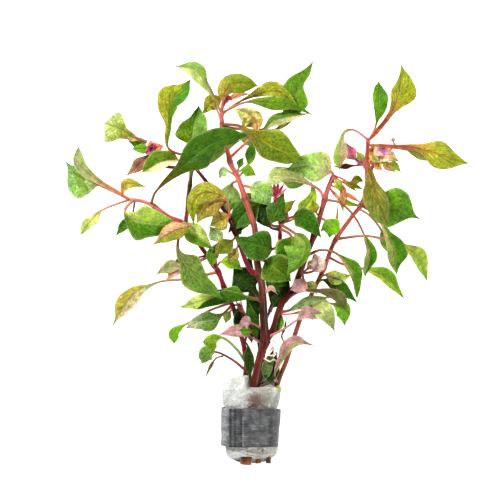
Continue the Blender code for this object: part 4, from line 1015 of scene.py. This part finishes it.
class Blade:
    """One blade: gives the middle of its sheet, its face and its colours at any place."""

    def __init__(self, leaf, seed):
        rng = random.Random(seed)
        self.path = Route([pressed(p) for p in on_stem(leaf["route"])])
        self.begin = self.path.lengths[ROUTE_SAMPLES * leaf.get("start", 1)]
        self.length = self.path.total - self.begin
        plain = default_widths(leaf.get("width", 0))
        self.halves = (leaf.get("left", plain), leaf.get("right", plain))
        self.widest = max(max(half) for half in self.halves)
        self.bends = [math.tan(math.radians(b)) for b in leaf.get("bend", (6, 6))]
        self.fold = leaf.get("fold", FOLD)
        self.stalk = leaf.get("stalk", 0)
        self.palettes = palettes_of(leaf)
        self.phases = (rng.uniform(0, 6.28), rng.uniform(0, 6.28))
        self.waves = rng.uniform(*WAVES)
        self.ripple = rng.uniform(*RIPPLE)
        self.curl = rng.uniform(*CURL)
        self.shade = rng.uniform(*SHADES)

    def row(self, share):
        """Middle, side and face directions at a share of the length."""
        middle, way = self.path.at(self.begin + share * self.length)
        return middle, *leaf_frame(way)

    def spot(self, row, share, across):
        """Middle of the sheet at a share of the length and at -1 (left) to 1 (right) across."""
        middle, side, face = row
        hand = 1 if across > 0 else 0
        reach = abs(across)
        half = width_at(self.halves[hand], share)
        phase = self.phases[hand]
        edge = 1 + EDGE_STRAY * math.sin(EDGE_TURNS * share + phase) * reach
        swell = math.sin(math.pi * share)
        wave = self.ripple * reach ** 2 * math.sin(2 * math.pi * self.waves * share + phase)
        lift = self.fold * reach * (1 - 0.5 * reach) + self.bends[hand] * reach ** 2
        lift = half * (lift - self.curl * reach ** 4 + wave * swell)
        ribs = abs(math.sin(math.pi * vein_phase(share, reach)))
        pillow = QUILTING * self.widest * (ribs ** 0.7 - 0.5) * (1 - reach ** 4) * swell * min(1, reach * 6)
        return middle + side * (half * across * edge) + face * (lift + pillow)

    def tints(self, spot, share, across):
        """Colours of the upper side, the underside and the veins at one place."""
        mix = share_of(-1, 1, across * HALVES_MEET)
        left, right = self.palettes
        place = max(share - self.stalk, 0) / (1 - self.stalk)
        colour = blade_colour(left, place) * (1 - mix) + blade_colour(right, place) * mix
        under = left[4] * (1 - mix) + right[4] * mix
        vein = left[3] * (1 - mix) + right[3] * mix
        light = self.shade * (1 + patchy(spot, *MOTTLING) + patchy(spot, *FINE_MOTTLING))
        # Painted light: towards the edge the blade pales to its vein colour and a painted backlit glow
        pale_lit_margin = PALE_LIT_MARGIN_STRENGTH * smooth_step(PALE_LIT_MARGIN, 1.0, abs(across))
        colour = colour * (1 - pale_lit_margin) + (vein * (1 - BACKLIT_RIM_SHARE) + linear(BACKLIT_RIM_TONE) * BACKLIT_RIM_SHARE) * pale_lit_margin
        upper = np.clip(colour * light * WARMTH, 0, 1)
        under = (1 - SHOW_THROUGH) * under + SHOW_THROUGH * colour
        lower = np.clip(under * light * WARMTH, 0, 1)
        return tuple(upper), tuple(lower), tuple(vein)


def add_leaf(surface, leaf, seed, grid):
    """Adds one petiole and blade: an upper and a lower skin, their rim, and a round midrib."""
    rows, columns = grid
    blade = Blade(leaf, seed)
    flip = leaf.get("flip", False)
    upper, lower = [], []
    for i in range(rows + 1):
        share = i / rows
        row = blade.row(share)
        upper.append([])
        lower.append([])
        for j in range(columns + 1):
            across = 2 * j / columns - 1
            spot = blade.spot(row, share, across)
            depth = LEAF_THICKNESS / 2 * (1 - RIM_THINNING * abs(across) ** 3)
            spot.z = max(spot.z, FLOOR_CLEARANCE + depth)
            top_tint, low_tint, vein = blade.tints(spot, share, across)
            if flip:
                top_tint, low_tint = low_tint, top_tint
            uv = ((across + 1) / 2, share)
            upper[-1].append((above_floor(spot + row[2] * depth), uv, top_tint, vein))
            lower[-1].append((above_floor(spot - row[2] * depth), uv, low_tint, vein))
    surface.sheet(upper, lower, *((1, 0) if flip else (0, 1)))
    add_rib(surface, blade, flip)


def add_rib(surface, blade, flip):
    """The petiole, nearly round, running on as the midrib to the tip."""
    palette = blade.palettes[0]
    thick = RIB_RADIUS + RIB_GROWTH * min(blade.widest, RIB_GROWTH_END)
    rings = []
    for i in range(RIB_STEPS + 1):
        distance = blade.path.total * i / RIB_STEPS
        middle, way = blade.path.at(distance)
        side, face = leaf_frame(way)
        share = max((distance - blade.begin) / blade.length, 0.0)
        if share == 0:
            radius = thick * (1 + PETIOLE_SWELLING * (1 - distance / max(blade.begin, 0.01)) ** 3)
        else:
            radius = max(thick * max(1 - share, 0) ** RIB_TAPER * RIB_IN_BLADE, RIB_TIP_RADIUS)
        sink = RIB_SINK * radius * min(share * 8, 1) * (-1 if flip else 1)
        tone = palette[5] * (1 - RIB_PALING * share) + palette[2] * RIB_PALING * share
        tone = tuple(np.clip(tone, 0, 1))
        centre = middle - face * sink
        ring = []
        for k in range(RIB_SIDES):
            angle = 2 * math.pi * k / RIB_SIDES
            point = centre + side * radius * math.cos(angle) + face * radius * RIB_FLATNESS * math.sin(angle)
            ring.append((above_floor(point), (k / RIB_SIDES, distance / 10), tone, tuple(palette[3])))
        rings.append(ring)
    surface.tube(rings, 2)


# Materials

class Skin:
    """A material in the making, with short ways to add its nodes. Numbers and sockets may be mixed."""

    def __init__(self, name):
        self.material = bpy.data.materials.new(name)
        self.material.use_nodes = True
        self.tree = self.material.node_tree
        self.tree.nodes.clear()

    def node(self, kind, inputs=(), **settings):
        """Adds a node, sets its settings and fills its inputs with values or links."""
        made = self.tree.nodes.new("ShaderNode" + kind)
        for key, value in settings.items():
            setattr(made, key, value)
        for key, value in dict(inputs).items():
            if isinstance(value, bpy.types.NodeSocket):
                self.tree.links.new(value, made.inputs[key])
            else:
                made.inputs[key].default_value = value
        return made

    def math(self, operation, a, b=0.0, clamp=False):
        return self.node("Math", {0: a, 1: b}, operation=operation, use_clamp=clamp).outputs[0]

    def plus(self, a, b):
        return self.math("ADD", a, b)

    def minus(self, a, b, clamp=False):
        return self.math("SUBTRACT", a, b, clamp)

    def times(self, a, b):
        return self.math("MULTIPLY", a, b)

    def colour(self, layer):
        """The colour stored on the mesh under that name."""
        return self.node("VertexColor", layer_name=layer).outputs[0]

    def uv(self):
        return self.node("UVMap", uv_map="leaf").outputs[0]

    def place(self):
        return self.node("TexCoord").outputs["Object"]

    def noise(self, vector, scale, detail):
        return self.node("TexNoise", {"Vector": vector, "Scale": scale, "Detail": detail}).outputs[0]

    def streaks(self, vector, stretch, detail):
        """Noise drawn out by a different scale along each axis."""
        return self.noise(self.node("Mapping", {"Vector": vector, "Scale": stretch}).outputs[0], 1.0, detail)

    def cells(self, vector, scale, feature):
        return self.node("TexVoronoi", {"Vector": vector, "Scale": scale}, feature=feature).outputs[0]

    def ramp(self, value, *stops):
        """Colours at shares of the value; a single number is a grey."""
        made = self.node("ValToRGB", {0: value})
        elements = made.color_ramp.elements
        while len(elements) > 1:
            elements.remove(elements[-1])
        for k, (position, tone) in enumerate(stops):
            element = elements.new(position) if k else elements[0]
            element.position = position
            element.color = (*tone, 1) if isinstance(tone, tuple) else (tone, tone, tone, 1)
        return made.outputs[0]

    def mix(self, factor, a, b, blend="MIX"):
        inputs = {0: factor, 6: a, 7: b}
        return self.node("Mix", inputs, data_type="RGBA", blend_type=blend).outputs[2]

    def shaded(self, a, b, factor=1.0):
        """One colour multiplied by another."""
        return self.mix(factor, a, b, "MULTIPLY")

    def bump(self, height, strength, distance):
        inputs = {"Height": height, "Strength": strength, "Distance": distance}
        return self.node("Bump", inputs).outputs[0]

    def principled(self, colour, roughness, bump, **more):
        """The main shader; a further input is named with underscores for its spaces."""
        inputs = {"Base Color": colour, "Roughness": roughness, "Normal": bump}
        inputs.update((key.replace("_", " "), value) for key, value in more.items())
        return self.node("BsdfPrincipled", inputs).outputs[0]

    def let_through(self, shader, share, colour, **inputs):
        """Lets a share of the light through to the other side."""
        through = self.node("BsdfTranslucent", {"Color": colour, **inputs}).outputs[0]
        return self.node("MixShader", {0: share, 1: shader, 2: through}).outputs[0]

    def finish(self, shader):
        self.node("OutputMaterial", {0: shader})
        return self.material


def vein_mask(skin):
    """One on the side veins and fading between them, from the leaf's own coordinates."""
    split = skin.node("SeparateXYZ", {0: skin.uv()})
    reach = skin.math("ABSOLUTE", skin.minus(skin.times(split.outputs[0], 2.0), 1.0))
    slant = skin.times(reach, VEIN_SLANT)
    bend = skin.times(skin.times(reach, reach), VEIN_BEND)
    along = skin.minus(skin.minus(split.outputs[1], slant), bend)
    phase = skin.plus(skin.times(along, float(VEIN_PAIRS)), 0.5)
    wave = skin.math("ABSOLUTE", skin.math("SINE", skin.times(phase, math.pi)))
    line = skin.minus(1.0, skin.times(wave, 3.6), clamp=True)
    near_rib = skin.minus(1.0, skin.times(reach, 8.0), clamp=True)
    fade = skin.minus(1.1, reach, clamp=True)
    return skin.math("MAXIMUM", skin.times(line, fade), near_rib)


def leaf_material(name, roughness, veins, translucency, relief):
    """A leaf skin: its tint from the mesh, veins, a fine net between them, and light let through.

    Veins are raised where "relief" is 1 and sunk where it is -1.
    """
    skin = Skin(name)
    vein = skin.colour("vein")
    place = skin.place()
    mask = vein_mask(skin)
    blotch = skin.noise(place, 300.0, 6.0)
    fine = skin.noise(place, 1300.0, 3.0)
    net = skin.minus(1.0, skin.times(skin.cells(place, 520.0, "DISTANCE_TO_EDGE"), 5.0), clamp=True)
    shades = skin.ramp(blotch, (0.34, (0.62, 0.70, 0.55)), (0.5, 1.0), (0.64, (1.45, 1.32, 1.5)))
    speckles = skin.ramp(fine, (0.38, (0.74, 0.82, 0.7)), (0.5, 1.0), (0.62, (1.4, 1.26, 1.5)))
    mottled = skin.shaded(skin.shaded(skin.colour("tint"), shades, 0.9), speckles, 0.8)
    netted = skin.mix(skin.times(net, 0.36), mottled, vein)
    veined = skin.mix(skin.times(mask, veins), netted, vein)
    height = skin.plus(skin.times(mask, relief * 0.9), skin.times(net, relief * 0.3))
    bump = skin.bump(skin.plus(height, skin.times(fine, 0.4)), 0.9, 0.0006)
    rough = skin.plus(skin.times(fine, 0.25), roughness - 0.12)
    shader = skin.principled(veined, rough, bump, Specular_IOR_Level=LEAF_SHINE)
    glow = skin.shaded(veined, (1.5, 1.4, 0.35, 1.0))
    return skin.finish(skin.let_through(shader, translucency, glow, Normal=bump))


def rib_material():
    """Petiole and midrib: satin, with faint lengthwise streaks."""
    skin = Skin("leaf_rib")
    streak = skin.streaks(skin.uv(), (26.0, 3.0, 1.0), 3.0)
    shades = skin.ramp(streak, (0.3, (0.72, 0.7, 0.7)), (0.6, (1.15, 1.12, 1.1)))
    colour = skin.shaded(skin.colour("tint"), shades)
    return skin.finish(skin.principled(
        colour, 0.34, skin.bump(streak, 0.3, 0.0002),
        Specular_IOR_Level=0.35, Subsurface_Weight=0.15, Subsurface_Scale=0.001))


def stem_material():
    """Stem skin: its tint from the mesh, lengthwise streaks whose bright lines are partly painted highlights,
    and fine grain.
    """
    skin = Skin("stem_skin")
    streak = skin.streaks(skin.uv(), (22.0, 0.5, 1.0), 5.0)
    fine = skin.noise(skin.place(), 1500.0, 2.0)
    # Painted highlights in part: the brightest streaks double the bark colour, standing in for the shine
    # along the stem
    shades = skin.ramp(streak, (0.28, (0.5, 0.46, 0.44)), (0.5, 0.9), (0.7, (2.0, 1.9, 1.8)))
    colour = skin.shaded(skin.colour("tint"), shades)
    bump = skin.bump(skin.plus(skin.times(streak, 0.8), skin.times(fine, 0.2)), 0.5, 0.0004)
    rough = skin.plus(skin.times(fine, 0.3), 0.18)
    return skin.finish(skin.principled(
        colour, rough, bump, Specular_IOR_Level=0.22, Subsurface_Weight=0.12, Subsurface_Scale=0.0012))


def lead_material():
    """Dull lead: grey patches, fine scratches round the bunch and pits; the mesh's tint adds painted
    highlights on the bends and painted shade in the creases.
    """
    skin = Skin("scratched_lead")
    place = skin.place()
    patch = skin.noise(place, 330.0, 6.0)
    scratch = skin.streaks(place, (190.0, 1500.0, 190.0), 4.0)
    grain = skin.noise(place, 1900.0, 3.0)
    pits = skin.minus(1.0, skin.times(skin.cells(place, 420.0, "F1"), 5.0), clamp=True)
    base = skin.ramp(patch, (0.32, (0.05, 0.051, 0.053)), (0.5, (0.09, 0.091, 0.094)), (0.68, 0.17))
    lines = skin.ramp(scratch, (0.36, 0.62), (0.5, 1.0), (0.64, 1.7))
    specks = skin.ramp(grain, (0.40, 0.72), (0.52, 1.0), (0.64, 1.5))
    colour = skin.shaded(skin.shaded(base, lines, 0.55), specks, 0.7)
    # The mesh's tint is painted light: painted highlights on the bends and the lap's edge, painted shade in
    # the creases and along the edges
    colour = skin.shaded(colour, skin.colour("tint"))
    colour = skin.mix(skin.times(pits, 0.4), colour, (0.05, 0.05, 0.052, 1.0))
    height = skin.plus(skin.times(scratch, 0.5), skin.times(grain, 0.5))
    bump = skin.bump(skin.minus(height, skin.times(pits, 0.4)), 0.6, 0.0003)
    rough = skin.plus(skin.times(patch, 0.35), 0.36)
    return skin.finish(skin.principled(colour, rough, bump, Metallic=0.45))


def wool_material(name, bump_strength):
    """Fine fibre that lets light through, with its tint from the mesh."""
    skin = Skin(name)
    tufts = skin.noise(skin.place(), 900.0, 6.0)
    shades = skin.ramp(tufts, (0.34, (0.84, 0.84, 0.82)), (0.5, 1.0), (0.6, 1.1))
    colour = skin.shaded(skin.colour("tint"), shades)
    shader = skin.principled(colour, 0.9, skin.bump(tufts, bump_strength, 0.0008), Specular_IOR_Level=0.1)
    return skin.finish(skin.let_through(shader, 0.12, colour))


def floor_material():
    """Plain, pale and faintly glowing."""
    skin = Skin("pale_floor")
    glow = {"Emission Color": (1, 1, 1, 1), "Emission Strength": FLOOR_GLOW}
    inputs = {"Base Color": (*FLOOR_TONE, 1), "Roughness": 0.8, **glow}
    return skin.finish(skin.node("BsdfPrincipled", inputs).outputs[0])


# Stems, leaves and buds

def whole_route(stem):
    """A stem's route from where it joins another, or from its cut end."""
    return stem.get("join", ()) + stem["route"]


def on_stem(route):
    """Moves the first point of a leaf's route onto the axis of the nearest stem."""
    start = Vector(route[0])
    nearest = min((p for axis in STEM_AXES for p in axis), key=lambda p: (p - start).length)
    if (nearest - start).length > STEM_REACH:
        return route
    return (tuple(nearest), *route[1:])


def stem_tone(stem, share, from_cut):
    """Bark colour at a share of the stem, between the colours that it lists from base to tip."""
    tones = [linear(BARKS[c]) for c in stem["colours"]]
    place = min(share, 0.999) * (len(tones) - 1)
    i = int(place)
    tone = tones[i] + (tones[i + 1] - tones[i]) * (place - i)
    if stem["route"][0][1] < 0:
        fresh = max(1 - from_cut / CUT_COLOUR_LENGTH, 0)
        tone = tone + (linear(BARKS[stem.get("cut", "cut")]) - tone) * fresh
    return tone


def make_stem(name, stem, material):
    """A stem with thickened leaf nodes, dark node rings, faint ribs and colour that changes upward."""
    path = Route([pressed(p) for p in whole_route(stem)], STEM_SAMPLES)
    pair_places = [pressed(stem["route"][i]) for i in stem["nodes"]]
    base, tip = stem["radii"]
    count = int(path.total / STEM_STEP)
    points, radii, tints = [], [], []
    for i in range(count + 1):
        distance = path.total * i / count
        share = distance / path.total
        point, _ = path.at(distance)
        near = min((point - place).length for place in pair_places)
        ring = bell(near, 0, RING_LENGTH)
        tone = stem_tone(stem, share, distance) * (1 - RING_DARKNESS * ring)
        tone = tone * (1 + STEM_MOTTLING * noise.noise(point * 0.25))
        points.append(point + Vector(noise.noise_vector(point * 0.12)) * STEM_STRAY)
        radii.append((base + (tip - base) * share) * (1 + NODE_SWELLING * bell(near, 0, NODE_LENGTH)))
        tints.append(np.clip(tone, 0, 1))
    radii[-2:] = [radius * taper for radius, taper in zip(radii[-2:], STEM_END_TAPER)]
    surface = Surface()
    add_tube(surface, points, radii, tints, STEM_SIDES, ribs=STEM_RIBS)
    settle(surface.finish(name + "_skin", [material]), stem["slot"], name)


def make_leaf(name, leaf, seed, materials):
    """One large leaf."""
    surface = Surface()
    add_leaf(surface, leaf, seed, LARGE_GRID)
    settle(surface.finish(name + "_blade", materials), leaf.get("slot", "leaf_green"), name)


def make_small_leaves(name, leaves, seed, materials):
    """One group of the small leaves between the large ones."""
    surface = Surface()
    rng = random.Random(seed)
    for number, (palette, width, route) in enumerate(leaves):
        width *= SMALL_LEAF_FULLNESS
        leaf = dict(palette=palette, route=route, left=lens_widths(width, rng), right=lens_widths(width, rng))
        leaf["bend"] = (rng.uniform(*SMALL_LEAF_BEND), rng.uniform(*SMALL_LEAF_BEND))
        add_leaf(surface, leaf, seed + number, SMALL_GRID)
    settle(surface.finish(name, materials), "leaf_green")


def make_backing_leaves(materials):
    """The second leaves of the pairs, hidden below the large ones in the picture."""
    surface = Surface()
    for number, name in enumerate(BACKED_LEAVES):
        front = LEAVES[name]
        base = front["route"][0]
        route = [Vector(point) for point in front["route"]]
        route[-1] = route[-2].lerp(route[-1], BACK_LEAF_LENGTH)
        for point in route[1:]:
            fall = BACK_LEAF_SLOPE * (point.z - base[2])
            point.z = max(base[2] - fall - BACK_LEAF_DROP, BACK_LEAF_LOWEST)
        leaf = dict(front, route=tuple(route), palette="green", flip=True, bend=BACK_BEND)
        for half in ("left", "right"):
            leaf[half] = [BACK_LEAF_WIDTH * w for w in front[half]]
        add_leaf(surface, leaf, BACKING_SEED + number, BACKING_GRID)
    settle(surface.finish("backing_leaves", materials), "leaf_green")


def make_shoot_tip(name, tip, materials):
    """A bud: its stalk and a spray of small young leaves around it."""
    surface = Surface()
    path = smooth_path([pressed(p) for p in tip["stalk"]], BUD_SAMPLES)
    radii = [BUD_STALK_RADIUS + BUD_STALK_SWELLING * (i / (len(path) - 1)) ** 4 for i in range(len(path))]
    add_tube(surface, path, radii, [linear(BARKS["crimson"])] * len(path), BUD_STALK_SIDES, slot=2)
    at = Vector(tip["stalk"][-1])
    rise = Vector((0, 0, 1)) / PRESSED
    for number, (direction, length, width, palette) in enumerate(tip["leaflets"]):
        way = Vector(direction).normalized()
        route = (at, *(at + way * length * share + rise * height for share, height in BUD_ARC))
        leaf = dict(palette=palette, width=width, route=route, fold=BUD_FOLD)
        add_leaf(surface, leaf, BUD_SEED + number, BUD_GRID)
    settle(surface.finish(name + "_leaflets", materials), "young_leaf", name)


# Lead strip

def strip_section():
    """The strip seen along the bunch, from its inner end round the back to its outer end."""
    cx = STRIP_HALF_SPAN - STRIP_CORNER
    dz = STRIP_HALF_DEPTH - STRIP_CORNER
    front = STRIP_MIDDLE + STRIP_HALF_DEPTH
    lap = front + STRIP_THICKNESS + GAP
    points = [(STRIP_INNER_END, front)]
    for x, z, start in ((-cx, dz, 90), (-cx, -dz, 180), (cx, -dz, 270), (cx, dz, 0)):
        for turned in range(0, 91, 10):
            angle = math.radians(start + turned)
            points.append((x + STRIP_CORNER * math.cos(angle),
                           STRIP_MIDDLE + z + STRIP_CORNER * math.sin(angle)))
    points += [(STRIP_LAP_START, lap), (STRIP_OUTER_END, lap)]
    return [Vector((x, 0, z)) for x, z in points]


def strip_stations():
    """Even steps along the strip: distance, point, outward direction, and whether it is past half way."""
    section = strip_section()
    lengths = arc_lengths(section)
    for i in range(STRIP_COLUMNS + 1):
        distance = lengths[-1] * i / STRIP_COLUMNS
        k = max(j for j in range(len(section) - 1) if lengths[j] <= distance)
        point = section[k].lerp(section[k + 1], (distance - lengths[k]) / (lengths[k + 1] - lengths[k]))
        way = (section[k + 1] - section[k]).normalized()
        out = Vector((way.z, 0, -way.x))
        if (point - Vector((0, 0, STRIP_MIDDLE))).dot(out) < 0:
            out = -out
        yield distance, point, out, distance > lengths[-1] / 2


def strip_edge(x, across, distance):
    """How far a cut edge strays: the lap's end stands past the layer below, the right end drops."""
    stray = EDGE_WANDER * noise.noise(Vector((distance * 0.14, across, 3.0)))
    if across > 0:
        drop = RIGHT_EDGE_DROP * max((x - 2) / 12, 0)
    else:
        drop = LEFT_EDGE_DROP * share_of(-14, -10, x)
    return (stray - drop) * abs(across) ** 6


def strip_place(distance, point, out, across):
    """A place in the middle of the metal, dented and creased, at -1 to 1 across the strip."""
    y = STRIP_WIDTH / 2 * across + strip_edge(point.x, across, distance)
    dent = STRIP_DENTS * noise.noise(Vector((point.x, y, point.z)) * 0.16)
    if point.z > STRIP_MIDDLE:
        dent -= CREASE_DEPTH * sum(bell(point.x, crease, CREASE_WIDTH) for crease in CREASES)
    if point.z < 1.0:
        dent = 0.0
    place = Vector((point.x, y, point.z)) + out * dent
    place.x -= STRIP_SLANT * (STRIP_WIDTH / 2 - y) * smooth_step(4.0, 13.0, point.x)
    return place


def lead_painted_light(place, lapped):
    """How light the lead is, all painted: a painted highlight on the left bend, the right bend and the lap's
    edge, and painted shade in and beside the creases, before the right bend and along both edges.
    """
    if place.z < STRIP_MIDDLE + STRIP_HALF_DEPTH / 2:
        light = 1.0
    elif lapped:
        light = 1.1 - 0.3 * bell(place.x, 10.0, 3.2) + 0.9 * bell(place.x, 14.6, 1.0)
        light += 1.1 * bell(place.x, STRIP_OUTER_END + 0.5, 0.5) * share_of(5.5, 3.5, place.y)
    else:
        light = 0.8 + 1.6 * share_of(-10.4, -11.2, place.x) + 0.5 * bell(place.x, -9.0, 0.4)
        light -= 0.45 * sum(bell(place.x, crease, CREASE_WIDTH) for crease in CREASES)
    light = LEAD_TONE * (light - EDGE_SHADE * bell(abs(place.y), STRIP_WIDTH / 2, 0.7))
    return (light, light, light)


def make_lead_strip(material):
    """The bent strip with pressed dents, two creases at the left and slightly uneven edges."""
    outer, inner = [], []
    for distance, point, out, lapped in strip_stations():
        outer.append([])
        inner.append([])
        for j in range(STRIP_ROWS + 1):
            across = 2 * j / STRIP_ROWS - 1
            place = strip_place(distance, point, out, across)
            uv = (distance / 100, across)
            # The tint is painted light and shade, carried as the mesh's colour
            tint = lead_painted_light(place, lapped)
            face = place + out * STRIP_THICKNESS / 2
            face.z = max(face.z, 0.0)
            outer[-1].append((face, uv, tint, tint))
            inner[-1].append((place - out * STRIP_THICKNESS / 2, uv, tint, tint))
    surface = Surface()
    surface.sheet(outer, inner, 0, 0)
    settle(surface.finish("lead_strip_metal", [material]), "lead", "lead_strip")


# Filter wool

def wool_spot(y, angle, lift=0.0):
    """A place on the wool, seen round the tie's axis. At its ends the front sinks to show the stems."""
    places, widths, depths = zip(*WOOL_SECTIONS)
    width, depth = np.interp(y, places, widths), np.interp(y, places, depths)
    across, up = math.cos(angle), math.sin(angle)
    x = width * math.copysign(abs(across) ** WOOL_ROUNDNESS, across)
    z = depth * math.copysign(abs(up) ** WOOL_ROUNDNESS, up)
    if z > WOOL_BED:
        below = smooth_step(*SUNK_BELOW, y)
        above = smooth_step(*SUNK_ABOVE, y) * smooth_step(*SUNK_ACROSS, x)
        z += (WOOL_BED - z) * (below if y < 0 else above)
    spot = Vector((x, y, z + STRIP_MIDDLE))
    loose = smooth_step(BAND_END, BAND_END + 1.5, abs(y))
    lumps = patchy(spot, *WOOL_LUMPS) + patchy(spot, *WOOL_TUFTS)
    spot += Vector((across, 0, up)) * (lumps * loose + lift)
    spot.z = max(spot.z, WOOL_FLOOR)
    return spot


def wool_tint(spot):
    """White with a green-grey cast, brown and grey over the stems that show through on the right, and painted
    shade on the wool just above the strip's edge.
    """
    front = smooth_step(STRIP_MIDDLE - 4, STRIP_MIDDLE + 6, spot.z)
    if spot.y > 0:
        brown = 1.5 * bell(spot.x, 2.2, 3.6) * bell(spot.y, 13.0, 5.5)
        brown *= 0.85 + 0.7 * noise.noise(spot * 0.7)
        # The second grey term is painted shade: it greys the wool all across where it comes out above the
        # strip
        grey = 0.85 * bell(spot.x, 7.5, 5.5) * bell(spot.y, 15.0, 8.0) + 0.28 * bell(spot.y, 9.0, 3.0)
    else:
        brown = 1.1 * bell(spot.x, 2.0, 7.0) * bell(spot.y, -14.5, 4.0)
        brown *= 0.4 + 1.6 * noise.noise(spot * 0.8)
        grey = 0.0
    white, grey_tone, brown_tone = (linear(c) for c in WOOL_TONES)
    tone = white + (grey_tone - white) * min(grey * front, 1)
    tone = tone + (brown_tone - tone) * share_of(0, 1, brown * front)
    return tuple(tone)


def make_wool_core(material):
    """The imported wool, lumpy where it stands out of the strip."""
    rings = []
    first, last = WOOL_SECTIONS[0][0], WOOL_SECTIONS[-1][0]
    for i in range(WOOL_RINGS + 1):
        y = first + (last - first) * i / WOOL_RINGS
        rings.append([])
        for k in range(WOOL_AROUND):
            spot = wool_spot(y, 2 * math.pi * k / WOOL_AROUND)
            tint = wool_tint(spot)
            rings[-1].append((spot, (k / WOOL_AROUND, i / WOOL_RINGS), tint, tint))
    surface = Surface()
    surface.tube(rings, 0)
    core = settle(surface.finish("wool_plug", [material]), "wool", "filter_wool")


def make_wool_fibres(material):
    """Loose fibres that lie on the wool and stand off it at its ends."""
    rng = random.Random(FIBRE_SEED)
    surface = Surface()
    low, high = FIBRE_ENDS
    for _ in range(FIBRES):
        above = rng.random() < FIBRES_ABOVE
        y = rng.uniform(BAND_END + 0.2, high - 0.1) if above else rng.uniform(low, -BAND_END - 0.2)
        angle = rng.uniform(0, 2 * math.pi)
        heading = rng.uniform(0, 2 * math.pi)
        turn = rng.uniform(*FIBRE_TURN)
        length = rng.uniform(*FIBRE_LENGTH)
        height = rng.uniform(*FIBRE_HEIGHT)
        stray = rng.uniform(*FIBRE_STRAY) if rng.random() < STRAY_SHARE else 0.0
        path = []
        for step in range(FIBRE_STEPS + 1):
            t = step / FIBRE_STEPS
            path.append(wool_spot(y, angle, height * math.sin(math.pi * t) + stray * t ** 2))
            heading += turn
            angle += math.cos(heading) * length / FIBRE_STEPS / FIBRE_TURN_RADIUS
            y += math.sin(heading) * length / FIBRE_STEPS
            y = min(max(y, BAND_END), high) if above else max(min(y, -BAND_END), low)
        tone = np.clip(np.array(wool_tint(path[2])) * rng.uniform(*FIBRE_SHADES), 0, 1)
        add_tube(surface, path, [FIBRE_RADIUS] * len(path), [tone] * len(path), FIBRE_SIDES)
    settle(surface.finish("wool_fibres", [material]), "wool")


# Studio

def place_in_scene(name, data):
    """Adds an object that is no part of the bunch."""
    obj = bpy.data.objects.new(name, data)
    bpy.context.scene.collection.objects.link(obj)
    return obj


def make_floor():
    """A plain pale floor, just below the lowest leaves."""
    mesh = bpy.data.meshes.new("floor")
    corners = [(x * FLOOR_HALF, y * FLOOR_HALF, 0) for x, y in ((-1, -1), (1, -1), (1, 1), (-1, 1))]
    mesh.from_pydata(corners, [], [(0, 1, 2, 3)])
    mesh.materials.append(floor_material())
    floor = place_in_scene("floor", mesh)
    floor.location.z = -FLOOR_DROP


def make_light(name, place, size, power):
    """A round soft light that points at the bunch."""
    data = bpy.data.lights.new(name, "AREA")
    data.shape = "DISK"
    data.size = size
    data.energy = power
    light = place_in_scene(name, data)
    light.location = place
    light.rotation_mode = "QUATERNION"
    light.rotation_quaternion = (Vector(LIGHT_TARGET) - Vector(place)).to_track_quat("-Z", "Y")


def make_sky():
    """Soft white light from all sides."""
    world = bpy.data.worlds.new("studio")
    bpy.context.scene.world = world
    world.use_nodes = True
    background = world.node_tree.nodes["Background"]
    background.inputs["Color"].default_value = (1, 1, 1, 1)
    background.inputs["Strength"].default_value = SKY_STRENGTH
    bpy.context.scene.view_settings.view_transform = "Standard"


def make_camera():
    """Looks straight down, so that the bunch stands upright in the picture as photographed."""
    data = bpy.data.cameras.new("camera")
    data.sensor_width = SENSOR_WIDTH
    data.lens = SENSOR_WIDTH * (CAMERA_HEIGHT - REFERENCE_HEIGHT) / VIEW_WIDTH
    data.clip_end = 10.0
    camera = place_in_scene("camera", data)
    camera.location = (VIEW_CENTRE[0] * MM, VIEW_CENTRE[1] * MM, CAMERA_HEIGHT * MM)
    bpy.context.scene.camera = camera


def main():
    """Makes the camera, every piece of the bunch, and the floor and lights."""
    noise.seed_set(NOISE_SEED)
    make_camera()
    leaf_skins = [
        leaf_material("leaf_upper", roughness=0.30, veins=0.62, translucency=0.28, relief=-1.0),
        leaf_material("leaf_under", roughness=0.50, veins=0.60, translucency=0.30, relief=1.0),
        rib_material(),
    ]
    stem_skin = stem_material()
    for name, stem in STEMS.items():
        make_stem(name, stem, stem_skin)
    for seed, (name, leaf) in enumerate(LEAVES.items()):
        make_leaf(name, leaf, seed, leaf_skins)
    for number, (name, leaves) in enumerate(SMALL_LEAVES.items()):
        make_small_leaves(name, leaves, SMALL_LEAF_SEED * (number + 1), leaf_skins)
    make_backing_leaves(leaf_skins)
    for name, tip in SHOOT_TIPS.items():
        make_shoot_tip(name, tip, leaf_skins)
    make_lead_strip(lead_material())
    make_wool_core(wool_material("packed_wool", bump_strength=0.4))
    make_wool_fibres(wool_material("loose_wool", bump_strength=0.2))
    make_floor()
    for light in LIGHTS:
        make_light(*light)
    make_sky()


# The middle lines that the leaves grow from
STEM_AXES = [smooth_path([Vector(p) for p in whole_route(stem)], AXIS_SAMPLES) for stem in STEMS.values()]
main()
